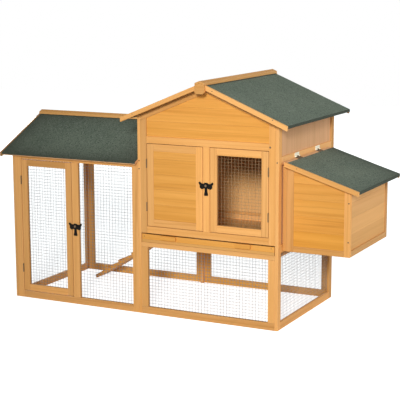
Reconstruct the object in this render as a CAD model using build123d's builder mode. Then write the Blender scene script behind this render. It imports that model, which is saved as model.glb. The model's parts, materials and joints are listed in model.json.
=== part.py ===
from build123d import *
import os
from math import ceil, cos, radians, sin, tan

# A chicken coop with a run: a gabled house on legs, a nest box on its right end
# and a roofed wire run on its left end. Millimetres and degrees, +Z up, front
# towards -Y, origin on the ground under the middle of the whole object.

# Stock that all panels are made from
panel_thickness = 15.0
board_thickness = 8.0
plank_pitch = 70.0
upright_pitch = 84.0
narrowest_board = 0.25
bottom_rail = 34.0
side_stile = 33.0
hairline = 0.3
wire_pitch = 32.0
wire_thickness = 1.4
wire_setback = 2.0

# House front, from the ground up and from its end stiles to its middle
house_depth = 662.0
end_stile = 31.5
centre_stile = 33.0
door_width = 282.5
door_height = 380.0
door_gap = 2.5
door_stile = 33.0
door_rail = 32.0
door_thickness = 14.0
lower_mesh_height = 285.0
lower_top_rail = 21.0
lower_stile = 33.0
sill_rail = 32.0
head_rail = 31.5
gable_board_inset = 4.0
door_board_inset = 1.5
back_sill_rail = 50.0

# House sides
side_rail = 35.0
hinge_rail = 36.0
pop_hole_width = 152.0
pop_hole_height = 260.0
pop_hole_stile = 30.0

# Roofs
deck_thickness = 10.0
felt_thickness = 2.5
felt_drop = 13.0
house_eave_rise = 87.5
house_pitch = 22.3
house_eave_overhang = 56.0
house_verge_overhang = 55.0
verge_depth = 19.5
verge_thickness = 14.0
gable_rail = 30.0
cap_thickness = 10.0
cap_width = 25.0
block_width = 50.0
block_height = 46.0
block_thickness = 12.0
block_chamfer = 9.0
ridge_beam_width = 20.0
ridge_beam_height = 34.0

# Run
run_end_stile = 32.0
run_centre_stile = 36.5
run_mesh_width = 292.5
run_door_stile = 32.0
run_door_rail = 31.0
run_head_height = 685.0
run_eave_rise = 31.0
run_pitch = 24.4
run_eave_overhang = 24.0
run_verge_overhang = 57.5
run_felt_drop = 10.0
run_felt_setback = 5.0
run_cap_setback = 7.0

# Nest box and lid
nest_projection = 312.0
nest_width = 493.0
nest_setback = 52.0
nest_drop = 30.5
nest_height = 396.5
nest_rail = 26.0
nest_wall_batten = 15.0
nest_stile = 33.0
nest_corner_post = 29.0
nest_board_inset = 1.5
nest_floor_thickness = 11.0
nest_lip_height = 56.0
nest_opening_stile = 35.0
divider_thickness = 10.0
divider_height = 170.0
lid_overhang = 43.5
lid_front_overhang = 28.0
lid_pitch = 17.3
lid_felt_gap = 24.0
lid_deck_gap = 6.0
lid_strip_gap = 14.0
lid_strip_thickness = 12.0
lid_clearance = 0.5

# Tray and runners
tray_gap = 5.5
tray_lift = 0.8
tray_setback = 1.5
tray_lip_setback = 1.0
tray_base = 12.6
tray_wall_height = 24.8
tray_front_thickness = 6.5
tray_side_gap = 3.5
tray_wall = 9.0
tray_depth = 627.0
grip_width = 75.5
grip_height = 19.0
grip_thickness = 13.0
grip_rise = 6.3
grip_places = (-192.2, 181.9)
runner_width = 18.0
runner_height = 19.0

# Ramp
ramp_pitch = 31.0
ramp_width = 134.0
ramp_thickness = 17.0
ramp_hinge_drop = 6.0
ramp_wall_gap = 4.0
ramp_foot_clearance = 0.3
cleat_width = 12.0
cleat_height = 8.0
cleat_pitch = 92.0

# Hinges, latches and screws
barrel_radius = 2.6
pin_radius = 1.3
pin_clearance = 0.05
pin_head = 1.0
leaf_thickness = 0.9
leaf_seat = 0.15
leaf_clearance = 0.4
knuckle_gap = 0.15
door_barrel_offset = 3.0
door_leaf_reach = 16.0
door_hinge_length = 40.0
house_hinge_inset = 90.0
run_hinge_low_inset = 112.0
run_hinge_high_inset = 100.0
flat_barrel_offset = 3.3
lid_hinge_length = 52.0
lid_hinge_front_inset = 149.0
lid_hinge_back_inset = 97.0
lid_wall_reach = 17.0
lid_leaf_reach = 19.0
ramp_hinge_length = 40.0
ramp_hinge_spread = 74.0
ramp_wall_reach = 24.0
ramp_leaf_reach = 24.0
latch_thickness = 4.0
latch_clearance = 0.5
latch_rounding = 2.0
latch_rise = 19.0
run_latch_rise = 21.0
latch_screw_radius = 2.0
screw_head_radius = 5.5
screw_head_thickness = 3.0
panel_screw_radius = 3.0
panel_screw_thickness = 1.2
left_post_screw_heights = (681.0, 718.0)
right_post_screw_height = 752.0
nest_screw_inset = 9.0
nest_screw_rises = (66.5, 236.5)

# Half outline of a turn button from its crown to its tail, measured from its screw
button_half = (
    (0, 13),
    (7, 13),
    (10, 8.5),
    (21, 8.5),
    (32, 16.5),
    (37, 11.5),
    (30.5, 0.5),
    (30.5, -10),
    (22.5, -16.5),
    (13, -14.5),
    (6, -10.5),
    (6, -28),
    (9, -38),
    (9, -45),
    (0, -45),
)

# Positions along the object
house_inner = 2 * (end_stile + door_width + 2 * door_gap) + centre_stile
house_width = house_inner + 2 * panel_thickness
run_inner = 2 * (run_end_stile + door_gap) + door_width + run_centre_stile + run_mesh_width
run_length = run_inner + panel_thickness
total_length = run_verge_overhang + run_length + house_width + nest_projection + lid_overhang
run_left = run_verge_overhang - total_length / 2
house_left = run_left + run_length
house_right = house_left + house_width
house_middle = (house_left + house_right) / 2
house_inner_left = house_left + panel_thickness
house_inner_right = house_right - panel_thickness
house_half = house_width / 2
inner_half = house_inner / 2
nest_right = house_right + nest_projection
half_depth = house_depth / 2
inner_depth = half_depth - panel_thickness
stile_edge = half_depth - side_stile

# Levels of the house
lower_head = bottom_rail + lower_mesh_height
lower_top = lower_head + lower_top_rail
tray_bottom = lower_top + tray_lift
tray_floor = tray_bottom + tray_base
tray_top = tray_floor + hairline + tray_wall_height
sill_bottom = tray_top + tray_gap
sill_top = sill_bottom + sill_rail
door_bottom = sill_top + door_gap
door_top = door_bottom + door_height
head_bottom = door_top + door_gap
head_top = head_bottom + head_rail

# Door edges, from left to right
left_door_left = house_inner_left + end_stile + door_gap
left_door_right = left_door_left + door_width
right_door_right = house_inner_right - end_stile - door_gap
right_door_left = right_door_right - door_width
run_inner_left = run_left + panel_thickness
run_door_left = run_inner_left + run_end_stile + door_gap
run_door_right = run_door_left + door_width
run_stile_left = run_door_right + door_gap
run_stile_right = run_stile_left + run_centre_stile
run_mesh_right = house_left - run_end_stile
run_door_bottom = bottom_rail + door_gap
run_door_top = run_head_height - door_gap

# Layers of the roofs, measured square to the slope from the top of the felt
deck_top = felt_thickness + hairline
deck_bottom = deck_top + deck_thickness
frame_top = deck_bottom + hairline
board_top = frame_top + gable_rail + hairline

house_slope = tan(radians(house_pitch))
eave_height = head_top + house_eave_rise
house_ridge = eave_height + (house_half + house_eave_overhang) * house_slope
house_eave = house_half + house_eave_overhang
house_verge = half_depth + house_verge_overhang
run_slope = tan(radians(run_pitch))
run_eave = half_depth + run_eave_overhang
run_eave_height = run_head_height + run_eave_rise
run_ridge = run_eave_height + run_eave * run_slope
lid_slope = tan(radians(lid_pitch))
nest_bottom = sill_bottom - nest_drop
lid_felt_height = nest_bottom + nest_height


def house_roof(x, below):
    """Height of the house roof at x from its ridge line, `below` under the felt's top."""
    return house_ridge - abs(x) * house_slope - below / cos(radians(house_pitch))


def run_roof(y, below):
    """Height of the run roof at y from its ridge line, `below` under the felt's top."""
    return run_ridge - abs(y) * run_slope - below / cos(radians(run_pitch))


def lid_top(x, below):
    """Height of the nest lid at x from the wall, `below` under the felt's top."""
    return lid_felt_height - (x - lid_felt_gap) * lid_slope - below / cos(radians(lid_pitch))


side_top = house_roof(house_half, frame_top)
run_top = run_roof(half_depth, frame_top)
side_top_rail = side_top - side_rail
floor_rail_bottom = sill_bottom - side_rail
lid_pivot_x = house_right + flat_barrel_offset
lid_seat = lid_top(flat_barrel_offset, deck_top)
lid_pivot_height = lid_seat + flat_barrel_offset / cos(radians(lid_pitch))
hinge_rail_top = lid_pivot_height + lid_wall_reach
hinge_rail_bottom = hinge_rail_top - hinge_rail


def bar(x0, x1, y0, y1):
    """Draws one straight piece, given by its edges, in the sketch being drawn."""
    with Locations(((x0 + x1) / 2, (y0 + y1) / 2)):
        Rectangle(x1 - x0, y1 - y0)


def outline(*points, mode=Mode.ADD):
    """Draws a straight-sided shape through the points in the sketch being drawn."""
    Polygon(*points, align=None, mode=mode)


def courses(low, high, pitch):
    """Edges of boards laid side by side from low to high; the last one takes what is left."""
    count = max(1, ceil((high - low) / pitch - narrowest_board))
    starts = [low + pitch * number for number in range(count)]
    ends = [start - hairline for start in starts[1:]] + [high]
    return list(zip(starts, ends))


def planks(x0, x1, low, high):
    """Draws level planks that fill a rectangle."""
    for start, end in courses(low, high, plank_pitch):
        bar(x0, x1, start, end)


def uprights(x0, x1, low, high):
    """Draws upright boards that fill a rectangle."""
    for start, end in courses(x0, x1, upright_pitch):
        bar(start, end, low, high)


def grille(x0, x1, y0, y1):
    """Draws welded wire across an opening, a hairline inside its edges."""
    width = x1 - x0 - 2 * hairline
    height = y1 - y0 - 2 * hairline
    columns = max(1, round(width / wire_pitch))
    rows = max(1, round(height / wire_pitch))
    step_x = (width - wire_thickness) / columns
    step_y = (height - wire_thickness) / rows
    with Locations(((x0 + x1) / 2, (y0 + y1) / 2)):
        Rectangle(width, height)
        with GridLocations(step_x, step_y, columns, rows):
            Rectangle(step_x - wire_thickness, step_y - wire_thickness, mode=Mode.SUBTRACT)


def front_plane(inset):
    """Upright plane `inset` behind the front; its normal points to the front."""
    return Plane.XZ.offset(half_depth - inset)


def back_plane(inset):
    """Upright plane `inset` before the back; its normal points to the front."""
    return Plane.XZ.offset(inset - half_depth)


def keep(piece, name):
    """Labels a finished piece and writes it."""
    piece.part.label = name
    export_step(piece.part, f"parts/{name}.step")


os.makedirs("parts", exist_ok=True)
board_inset = panel_thickness - board_thickness
wire_inset = panel_thickness - wire_setback - wire_thickness


# House front and back panels

def gabled_frame(low, sill_high):
    """Draws the stiles, sill, head and gable rails that the house's front and back share."""
    stile_inner = inner_half - end_stile
    stile_outer = inner_half - hairline
    rail_half = stile_inner - hairline
    for side in (-1, 1):
        outline(
            (house_middle + side * stile_inner, low),
            (house_middle + side * stile_outer, low),
            (house_middle + side * stile_outer, house_roof(stile_outer, board_top)),
            (house_middle + side * stile_inner, house_roof(stile_inner, board_top)),
        )
        outline(
            (house_middle + side * hairline / 2, house_roof(0, frame_top + gable_rail)),
            (house_middle + side * hairline / 2, house_roof(0, frame_top)),
            (house_middle + side * stile_outer, house_roof(stile_outer, frame_top)),
            (house_middle + side * stile_outer, house_roof(stile_outer, frame_top + gable_rail)),
        )
    bar(house_middle - rail_half, house_middle + rail_half, low, sill_high)
    bar(house_middle - rail_half, house_middle + rail_half, head_bottom, head_top)
    bar(
        house_middle - centre_stile / 2,
        house_middle + centre_stile / 2,
        sill_high + hairline,
        head_bottom - hairline,
    )


def gable_planks():
    """Draws the level planks above the head rail, cut to the slope of the gable rails."""
    half = inner_half - end_stile - hairline
    low = head_top + hairline
    top = house_roof(0, board_top)
    shoulder = house_roof(half, board_top)
    planks(house_middle - half, house_middle + half, low, top)
    outline(
        (house_middle - half, low),
        (house_middle + half, low),
        (house_middle + half, shoulder),
        (house_middle, top),
        (house_middle - half, shoulder),
        mode=Mode.INTERSECT,
    )


with BuildPart() as house_front_frame:
    with BuildSketch(front_plane(0)):
        gabled_frame(sill_bottom, sill_top)
    extrude(amount=-panel_thickness)
keep(house_front_frame, "house_front_frame")

with BuildPart() as house_front_boards:
    with BuildSketch(front_plane(gable_board_inset)):
        gable_planks()
    extrude(amount=-board_thickness)
keep(house_front_boards, "house_front_boards")

back_sill_bottom = lower_top + hairline
back_sill_top = back_sill_bottom + back_sill_rail

with BuildPart() as house_back_frame:
    with BuildSketch(back_plane(0)):
        gabled_frame(back_sill_bottom, back_sill_top)
    extrude(amount=panel_thickness)
keep(house_back_frame, "house_back_frame")

with BuildPart() as house_back_boards:
    with BuildSketch(back_plane(board_inset)):
        gable_planks()
    extrude(amount=board_thickness)
    with BuildSketch(back_plane(board_inset)):
        for side in (-1, 1):
            near = house_middle + side * (centre_stile / 2 + hairline)
            far = house_middle + side * (inner_half - end_stile - hairline)
            uprights(min(near, far), max(near, far), back_sill_top + hairline, head_bottom - hairline)
    extrude(amount=board_thickness)
keep(house_back_boards, "house_back_boards")


# House side panels

def side_frame():
    """Draws the two full-height stiles and the floor and top rails of a house side."""
    for side in (-1, 1):
        bar(*sorted((side * stile_edge, side * half_depth)), 0, side_top)
    rail_half = stile_edge - hairline
    bar(-rail_half, rail_half, floor_rail_bottom, sill_bottom)
    bar(-rail_half, rail_half, side_top_rail, side_top)


board_edge = stile_edge - hairline
pop_hole_near = stile_edge - pop_hole_width
pop_stile_near = pop_hole_near - pop_hole_stile
pop_hole_top = sill_bottom + pop_hole_height
pop_head_top = pop_hole_top + pop_hole_stile

with BuildPart() as house_left_frame:
    with BuildSketch(Plane.YZ.offset(house_left)):
        side_frame()
        bar(pop_stile_near, pop_hole_near, sill_bottom + hairline, side_top_rail - hairline)
        bar(pop_hole_near + hairline, board_edge, pop_hole_top, pop_head_top)
    extrude(amount=panel_thickness)
keep(house_left_frame, "house_left_frame")

with BuildPart() as house_left_boards:
    with BuildSketch(Plane.YZ.offset(house_left + board_inset)):
        low = sill_bottom + hairline
        high = side_top_rail - hairline
        uprights(-board_edge, pop_stile_near - hairline, low, high)
        uprights(pop_hole_near + hairline, board_edge, pop_head_top + hairline, high)
    extrude(amount=board_thickness)
keep(house_left_boards, "house_left_boards")

nest_front = nest_setback - half_depth
nest_back = nest_front + nest_width
nest_opening_front = nest_front + nest_opening_stile
nest_opening_back = nest_back - nest_opening_stile
nest_lining_front = nest_front + panel_thickness
nest_lining_back = nest_back - panel_thickness
nest_lip_top = sill_bottom + hairline + nest_lip_height

with BuildPart() as house_right_frame:
    with BuildSketch(Plane.YZ.offset(house_right)):
        side_frame()
        bar(-board_edge, board_edge, 0, bottom_rail)
        bar(-board_edge, board_edge, hinge_rail_bottom, hinge_rail_top)
        for start, end in ((nest_lining_front, nest_opening_front), (nest_opening_back, nest_lining_back)):
            bar(start, end, sill_bottom + hairline, hinge_rail_bottom - hairline)
        lip_front = nest_opening_front + hairline
        lip_back = nest_opening_back - hairline
        bar(lip_front, lip_back, sill_bottom + hairline, nest_lip_top)
    extrude(amount=-panel_thickness)
keep(house_right_frame, "house_right_frame")

with BuildPart() as house_right_boards:
    with BuildSketch(Plane.YZ.offset(house_right - board_inset)):
        uprights(-board_edge, board_edge, hinge_rail_top + hairline, side_top_rail - hairline)
        low = sill_bottom + hairline
        high = hinge_rail_bottom - hairline
        bar(-board_edge, nest_lining_front - hairline, low, high)
        bar(nest_lining_back + hairline, board_edge, low, high)
    extrude(amount=-board_thickness)
keep(house_right_boards, "house_right_boards")


# Frames and wire under the house

lower_half = inner_half - hairline
lower_open_half = inner_half - lower_stile


def lower_frame():
    """Draws the frame that closes the front or the back under the house."""
    left = house_middle - lower_half
    right = house_middle + lower_half
    bar(left, right, 0, bottom_rail)
    bar(left, right, lower_head, lower_top)
    for start, end in (
        (left, house_middle - lower_open_half),
        (house_middle + lower_open_half, right),
    ):
        bar(start, end, bottom_rail + hairline, lower_head - hairline)


with BuildPart() as lower_front_frame:
    with BuildSketch(front_plane(0)):
        lower_frame()
    extrude(amount=-panel_thickness)
keep(lower_front_frame, "lower_front_frame")

with BuildPart() as lower_back_frame:
    with BuildSketch(back_plane(0)):
        lower_frame()
    extrude(amount=panel_thickness)
keep(lower_back_frame, "lower_back_frame")

lower_left = house_middle - lower_open_half
lower_right = house_middle + lower_open_half

with BuildPart() as lower_front_mesh:
    with BuildSketch(front_plane(wire_inset)):
        grille(lower_left, lower_right, bottom_rail, lower_head)
    extrude(amount=-wire_thickness)
keep(lower_front_mesh, "lower_front_mesh")

with BuildPart() as lower_back_mesh:
    with BuildSketch(back_plane(wire_inset)):
        grille(lower_left, lower_right, bottom_rail, lower_head)
    extrude(amount=wire_thickness)
keep(lower_back_mesh, "lower_back_mesh")

with BuildPart() as lower_right_mesh:
    with BuildSketch(Plane.YZ.offset(house_right - wire_inset)):
        grille(-stile_edge, stile_edge, bottom_rail, floor_rail_bottom)
    extrude(amount=-wire_thickness)
keep(lower_right_mesh, "lower_right_mesh")


# Tray runners

runner_top = tray_bottom - hairline
runner_bottom = runner_top - runner_height

with BuildPart() as tray_runners:
    with BuildSketch(front_plane(panel_thickness + hairline)):
        for start in (house_inner_left + hairline, house_inner_right - hairline - runner_width):
            bar(start, start + runner_width, runner_bottom, runner_top)
    extrude(amount=-2 * (inner_depth - hairline))
keep(tray_runners, "tray_runners")


# House roof

deck_half = house_verge - verge_thickness - hairline
cap_reach = cap_width * cos(radians(house_pitch))

with BuildPart() as house_roof_decks:
    with BuildSketch(Plane.XZ):
        for side in (-1, 1):
            outline(
                (house_middle + side * hairline / 2, house_roof(0, deck_top)),
                (house_middle + side * hairline / 2, house_roof(0, deck_bottom)),
                (house_middle + side * house_eave, house_roof(house_eave, deck_bottom)),
                (house_middle + side * house_eave, house_roof(house_eave, deck_top)),
            )
    extrude(amount=deck_half, both=True)
keep(house_roof_decks, "house_roof_decks")


def draped_felt(middle, side, edge, roof, drop):
    """Draws a felt sheet down one slope, folded over the eave at `edge` from the ridge."""
    fold = edge + hairline
    lip = fold + felt_thickness
    foot = roof(edge, 0) - drop
    outline(
        (middle + side * hairline / 2, roof(0, 0)),
        (middle + side * lip, roof(lip, 0)),
        (middle + side * lip, foot),
        (middle + side * fold, foot),
        (middle + side * fold, roof(fold, felt_thickness)),
        (middle + side * hairline / 2, roof(0, felt_thickness)),
    )


with BuildPart() as house_roof_felts:
    with BuildSketch(Plane.XZ.offset(deck_half)):
        for side in (-1, 1):
            draped_felt(house_middle, side, house_eave, house_roof, felt_drop)
    extrude(amount=-deck_half - house_verge)
keep(house_roof_felts, "house_roof_felts")

verge_end = house_eave + felt_thickness


def verge_pair(middle, roof, end, top):
    """Draws the two verge boards of a gable, from the ridge to `end`, `top` under the felt's top."""
    for side in (-1, 1):
        outline(
            (middle + side * hairline / 2, roof(0, top)),
            (middle + side * hairline / 2, roof(0, verge_depth)),
            (middle + side * end, roof(end, verge_depth)),
            (middle + side * end, roof(end, top)),
        )


# The front pair stands before the felt; the back pair lies under it
with BuildPart() as house_verge_boards:
    with BuildSketch(Plane.XZ.offset(house_verge)):
        verge_pair(house_middle, house_roof, verge_end, 0)
    extrude(amount=-verge_thickness)
    with BuildSketch(Plane.XZ.offset(verge_thickness - house_verge)):
        verge_pair(house_middle, house_roof, house_eave, deck_top)
    extrude(amount=-verge_thickness)
keep(house_verge_boards, "house_verge_boards")

cap_length = house_verge + block_thickness
cap_bottom = -hairline
cap_top = cap_bottom - cap_thickness
block_half = block_width / 2
block_bottom = house_roof(0, hairline) - block_height

with BuildPart() as house_ridge_cap:
    with BuildSketch(Plane.XZ):
        for side in (-1, 1):
            outline(
                (house_middle + side * hairline / 2, house_roof(0, cap_bottom)),
                (house_middle + side * hairline / 2, house_roof(0, cap_top)),
                (house_middle + side * cap_reach, house_roof(cap_reach, cap_top)),
                (house_middle + side * cap_reach, house_roof(cap_reach, cap_bottom)),
            )
    extrude(amount=cap_length, both=True)
    for plane in (Plane.XZ.offset(house_verge + hairline), Plane.XZ.offset(-cap_length)):
        with BuildSketch(plane):
            outline(
                (house_middle, house_roof(0, 0)),
                (house_middle + block_half, house_roof(block_half, 0)),
                (house_middle + block_half, block_bottom + block_chamfer),
                (house_middle + block_half - block_chamfer, block_bottom),
                (house_middle - block_half + block_chamfer, block_bottom),
                (house_middle - block_half, block_bottom + block_chamfer),
                (house_middle - block_half, house_roof(block_half, 0)),
            )
        extrude(amount=block_thickness - hairline)
keep(house_ridge_cap, "house_ridge_cap")


# Run panels

run_rail_left = run_inner_left + run_end_stile + hairline
run_rail_right = run_mesh_right - hairline

with BuildPart() as run_front_frame:
    with BuildSketch(front_plane(0)):
        bar(run_inner_left + hairline, run_inner_left + run_end_stile, 0, run_top)
        bar(run_mesh_right, house_left - hairline, 0, run_top)
        bar(run_rail_left, run_rail_right, 0, bottom_rail)
        bar(run_rail_left, run_rail_right, run_head_height, run_top)
        bar(run_stile_left, run_stile_right, bottom_rail + hairline, run_head_height - hairline)
    extrude(amount=-panel_thickness)
keep(run_front_frame, "run_front_frame")

with BuildPart() as run_back_frame:
    with BuildSketch(back_plane(0)):
        bar(run_inner_left + hairline, run_inner_left + run_end_stile, 0, run_top)
        bar(run_mesh_right, house_left - hairline, 0, run_top)
        bar(run_rail_left, run_rail_right, 0, bottom_rail)
        bar(run_rail_left, run_rail_right, run_head_height, run_top)
    extrude(amount=panel_thickness)
keep(run_back_frame, "run_back_frame")

with BuildPart() as run_left_frame:
    with BuildSketch(Plane.YZ.offset(run_left)):
        for side in (-1, 1):
            bar(*sorted((side * stile_edge, side * half_depth)), 0, run_top)
        bar(-board_edge, board_edge, 0, bottom_rail)
        bar(-board_edge, board_edge, run_head_height, run_top)
    extrude(amount=panel_thickness)
keep(run_left_frame, "run_left_frame")

with BuildPart() as run_front_mesh:
    with BuildSketch(front_plane(wire_inset)):
        grille(run_stile_right, run_mesh_right, bottom_rail, run_head_height)
    extrude(amount=-wire_thickness)
keep(run_front_mesh, "run_front_mesh")

with BuildPart() as run_back_mesh:
    with BuildSketch(back_plane(wire_inset)):
        grille(run_inner_left + run_end_stile, run_mesh_right, bottom_rail, run_head_height)
    extrude(amount=wire_thickness)
keep(run_back_mesh, "run_back_mesh")

with BuildPart() as run_left_mesh:
    with BuildSketch(Plane.YZ.offset(run_left + wire_inset)):
        grille(-stile_edge, stile_edge, bottom_rail, run_head_height)
    extrude(amount=wire_thickness)
keep(run_left_mesh, "run_left_mesh")


# Run roof, with the rafters and beams that bear the roofs

gable_foot = run_top + hairline
rafter_end = half_depth - hairline
beam_half = ridge_beam_width / 2


def run_rafters():
    """Draws the two rafters under one end of the run roof, cut off level with the panels."""
    for side in (-1, 1):
        outline(
            (side * hairline / 2, run_roof(0, frame_top)),
            (side * hairline / 2, run_roof(0, frame_top + gable_rail)),
            (side * rafter_end, run_roof(rafter_end, frame_top + gable_rail)),
            (side * rafter_end, run_roof(rafter_end, frame_top)),
        )
    outline(
        (-half_depth, gable_foot),
        (half_depth, gable_foot),
        (half_depth, run_ridge),
        (-half_depth, run_ridge),
        mode=Mode.INTERSECT,
    )


with BuildPart() as roof_bearers:
    for start in (run_left, house_left - hairline - panel_thickness):
        with BuildSketch(Plane.YZ.offset(start)):
            run_rafters()
        extrude(amount=panel_thickness)
    with BuildSketch(Plane.YZ.offset(run_left + panel_thickness + hairline)):
        beam_top = run_roof(beam_half, frame_top)
        bar(-beam_half, beam_half, beam_top - ridge_beam_height, beam_top)
    extrude(amount=run_inner - panel_thickness - 3 * hairline)
    with BuildSketch(front_plane(panel_thickness + hairline)):
        beam_top = house_roof(beam_half, frame_top)
        bar(house_middle - beam_half, house_middle + beam_half, beam_top - ridge_beam_height, beam_top)
    extrude(amount=-2 * (inner_depth - hairline))
keep(roof_bearers, "roof_bearers")

with BuildPart() as run_gable_boards:
    with BuildSketch(Plane.YZ.offset(run_left + board_inset)):
        gable_top = run_roof(0, board_top)
        gable_half = (gable_top - gable_foot) / run_slope
        planks(-gable_half, gable_half, gable_foot, gable_top)
        outline(
            (-gable_half, gable_foot),
            (gable_half, gable_foot),
            (0, gable_top),
            mode=Mode.INTERSECT,
        )
    extrude(amount=board_thickness)
keep(run_gable_boards, "run_gable_boards")

run_verge = run_left - run_verge_overhang
run_deck_left = run_verge + verge_thickness + hairline
run_deck_length = house_left - hairline - run_deck_left
run_cap_reach = cap_width * cos(radians(run_pitch))

with BuildPart() as run_roof_decks:
    with BuildSketch(Plane.YZ.offset(run_deck_left)):
        for side in (-1, 1):
            outline(
                (side * hairline / 2, run_roof(0, deck_top)),
                (side * hairline / 2, run_roof(0, deck_bottom)),
                (side * run_eave, run_roof(run_eave, deck_bottom)),
                (side * run_eave, run_roof(run_eave, deck_top)),
            )
    extrude(amount=run_deck_length)
keep(run_roof_decks, "run_roof_decks")

run_felt_left = run_verge + run_felt_setback

with BuildPart() as run_roof_felts:
    with BuildSketch(Plane.YZ.offset(run_felt_left)):
        for side in (-1, 1):
            draped_felt(0, side, run_eave, run_roof, run_felt_drop)
    extrude(amount=house_left - hairline - run_felt_left)
keep(run_roof_felts, "run_roof_felts")

with BuildPart() as run_verge_boards:
    with BuildSketch(Plane.YZ.offset(run_verge)):
        verge_pair(0, run_roof, run_eave, deck_top)
    extrude(amount=verge_thickness)
keep(run_verge_boards, "run_verge_boards")

run_cap_left = run_verge + run_cap_setback

with BuildPart() as run_ridge_cap:
    with BuildSketch(Plane.YZ.offset(run_cap_left)):
        for side in (-1, 1):
            outline(
                (side * hairline / 2, run_roof(0, cap_bottom)),
                (side * hairline / 2, run_roof(0, cap_top)),
                (side * run_cap_reach, run_roof(run_cap_reach, cap_top)),
                (side * run_cap_reach, run_roof(run_cap_reach, cap_bottom)),
            )
    extrude(amount=house_left - hairline - run_cap_left)
keep(run_ridge_cap, "run_ridge_cap")


# Nest box

nest_left = house_right + hairline
nest_batten_right = nest_left + nest_wall_batten
nest_stile_left = nest_batten_right + hairline
nest_stile_right = nest_stile_left + nest_stile
nest_post_left = nest_right - nest_corner_post
nest_rail_top = nest_bottom + nest_rail
under_lid = deck_bottom + lid_clearance


def lid_line(x):
    """Height of the nest walls at x, just under the closed lid."""
    return lid_top(x - house_right, under_lid)


def sloped_post(x0, x1):
    """Draws an upright of a nest side, cut to the slope of the lid."""
    outline((x0, nest_bottom), (x1, nest_bottom), (x1, lid_line(x1)), (x0, lid_line(x0)))


def nest_side_frame():
    """Draws the frame of the nest's front or back."""
    sloped_post(nest_left, nest_batten_right)
    sloped_post(nest_stile_left, nest_stile_right)
    sloped_post(nest_post_left, nest_right)
    bar(nest_stile_right + hairline, nest_post_left - hairline, nest_bottom, nest_rail_top)


def nest_side_planks():
    """Draws the level planks of the nest's front or back, cut to the slope of the lid."""
    left = nest_stile_right + hairline
    right = nest_post_left - hairline
    low = nest_rail_top + hairline
    planks(left, right, low, lid_line(left))
    outline(
        (left, low),
        (right, low),
        (right, lid_line(right)),
        (left, lid_line(left)),
        mode=Mode.INTERSECT,
    )


nest_front_plane = Plane.XZ.offset(-nest_front)
nest_back_plane = Plane.XZ.offset(-nest_back)

with BuildPart() as nest_front_frame:
    with BuildSketch(nest_front_plane):
        nest_side_frame()
    extrude(amount=-panel_thickness)
keep(nest_front_frame, "nest_front_frame")

with BuildPart() as nest_back_frame:
    with BuildSketch(nest_back_plane):
        nest_side_frame()
    extrude(amount=panel_thickness)
keep(nest_back_frame, "nest_back_frame")

nest_inner_front = nest_front + panel_thickness + hairline
nest_inner_back = nest_back - panel_thickness - hairline
nest_outer_top = lid_line(nest_right)
nest_outer_head = nest_outer_top - nest_rail

with BuildPart() as nest_outer_rails:
    with BuildSketch(Plane.YZ.offset(nest_right)):
        bar(nest_inner_front, nest_inner_back, nest_bottom, nest_rail_top)
        bar(nest_inner_front, nest_inner_back, nest_outer_head, nest_outer_top)
    extrude(amount=-panel_thickness)
keep(nest_outer_rails, "nest_outer_rails")

with BuildPart() as nest_boards:
    with BuildSketch(nest_front_plane.offset(-nest_board_inset)):
        nest_side_planks()
    extrude(amount=-board_thickness)
    with BuildSketch(nest_back_plane.offset(nest_board_inset)):
        nest_side_planks()
    extrude(amount=board_thickness)
    with BuildSketch(Plane.YZ.offset(nest_right - board_inset)):
        low = nest_rail_top + hairline
        planks(nest_inner_front, nest_inner_back, low, nest_outer_head - hairline)
    extrude(amount=-board_thickness)
keep(nest_boards, "nest_boards")

nest_floor_right = nest_right - panel_thickness - hairline
nest_floor_top = nest_bottom + nest_floor_thickness

with BuildPart() as nest_floor:
    with BuildSketch(Plane.YZ.offset(nest_left)):
        bar(nest_inner_front, nest_inner_back, nest_bottom, nest_floor_top)
    extrude(amount=nest_floor_right - nest_left)
keep(nest_floor, "nest_floor")

nest_middle = (nest_front + nest_back) / 2
divider_bottom = nest_floor_top + hairline

with BuildPart() as nest_divider:
    with BuildSketch(Plane.YZ.offset(nest_left)):
        bar(
            nest_middle - divider_thickness / 2,
            nest_middle + divider_thickness / 2,
            divider_bottom,
            divider_bottom + divider_height,
        )
    extrude(amount=nest_floor_right - nest_left)
keep(nest_divider, "nest_divider")


# Nest lid

lid_left = house_right + lid_deck_gap
lid_felt_left = house_right + lid_felt_gap
lid_felt_right = nest_right + lid_overhang
lid_right = lid_felt_right - felt_thickness - hairline
lid_front = nest_front - lid_front_overhang
lid_back = nest_back + lid_overhang
lid_back_strip = lid_back - lid_strip_thickness
lid_deck_front = lid_front + lid_strip_thickness + hairline
lid_deck_width = lid_back_strip - hairline - lid_deck_front


def lid_point(x, below):
    """A point of the lid's section at x."""
    return (x, lid_top(x - house_right, below))


with BuildPart() as lid_deck:
    with BuildSketch(Plane.XZ.offset(-lid_deck_front)):
        outline(
            lid_point(lid_left, deck_top),
            lid_point(lid_left, deck_bottom),
            lid_point(lid_right, deck_bottom),
            lid_point(lid_right, deck_top),
        )
    extrude(amount=-lid_deck_width)
keep(lid_deck, "lid_deck")

with BuildPart() as lid_felt:
    with BuildSketch(Plane.XZ.offset(-lid_deck_front)):
        foot = lid_top(lid_felt_right - house_right, 0) - felt_drop
        fold = lid_right + hairline
        outline(
            lid_point(lid_felt_left, 0),
            lid_point(lid_felt_right, 0),
            (lid_felt_right, foot),
            (fold, foot),
            lid_point(fold, felt_thickness),
            lid_point(lid_felt_left, felt_thickness),
        )
    extrude(amount=lid_deck_front - lid_back)
keep(lid_felt, "lid_felt")

lid_strip_left = house_right + lid_strip_gap

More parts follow.
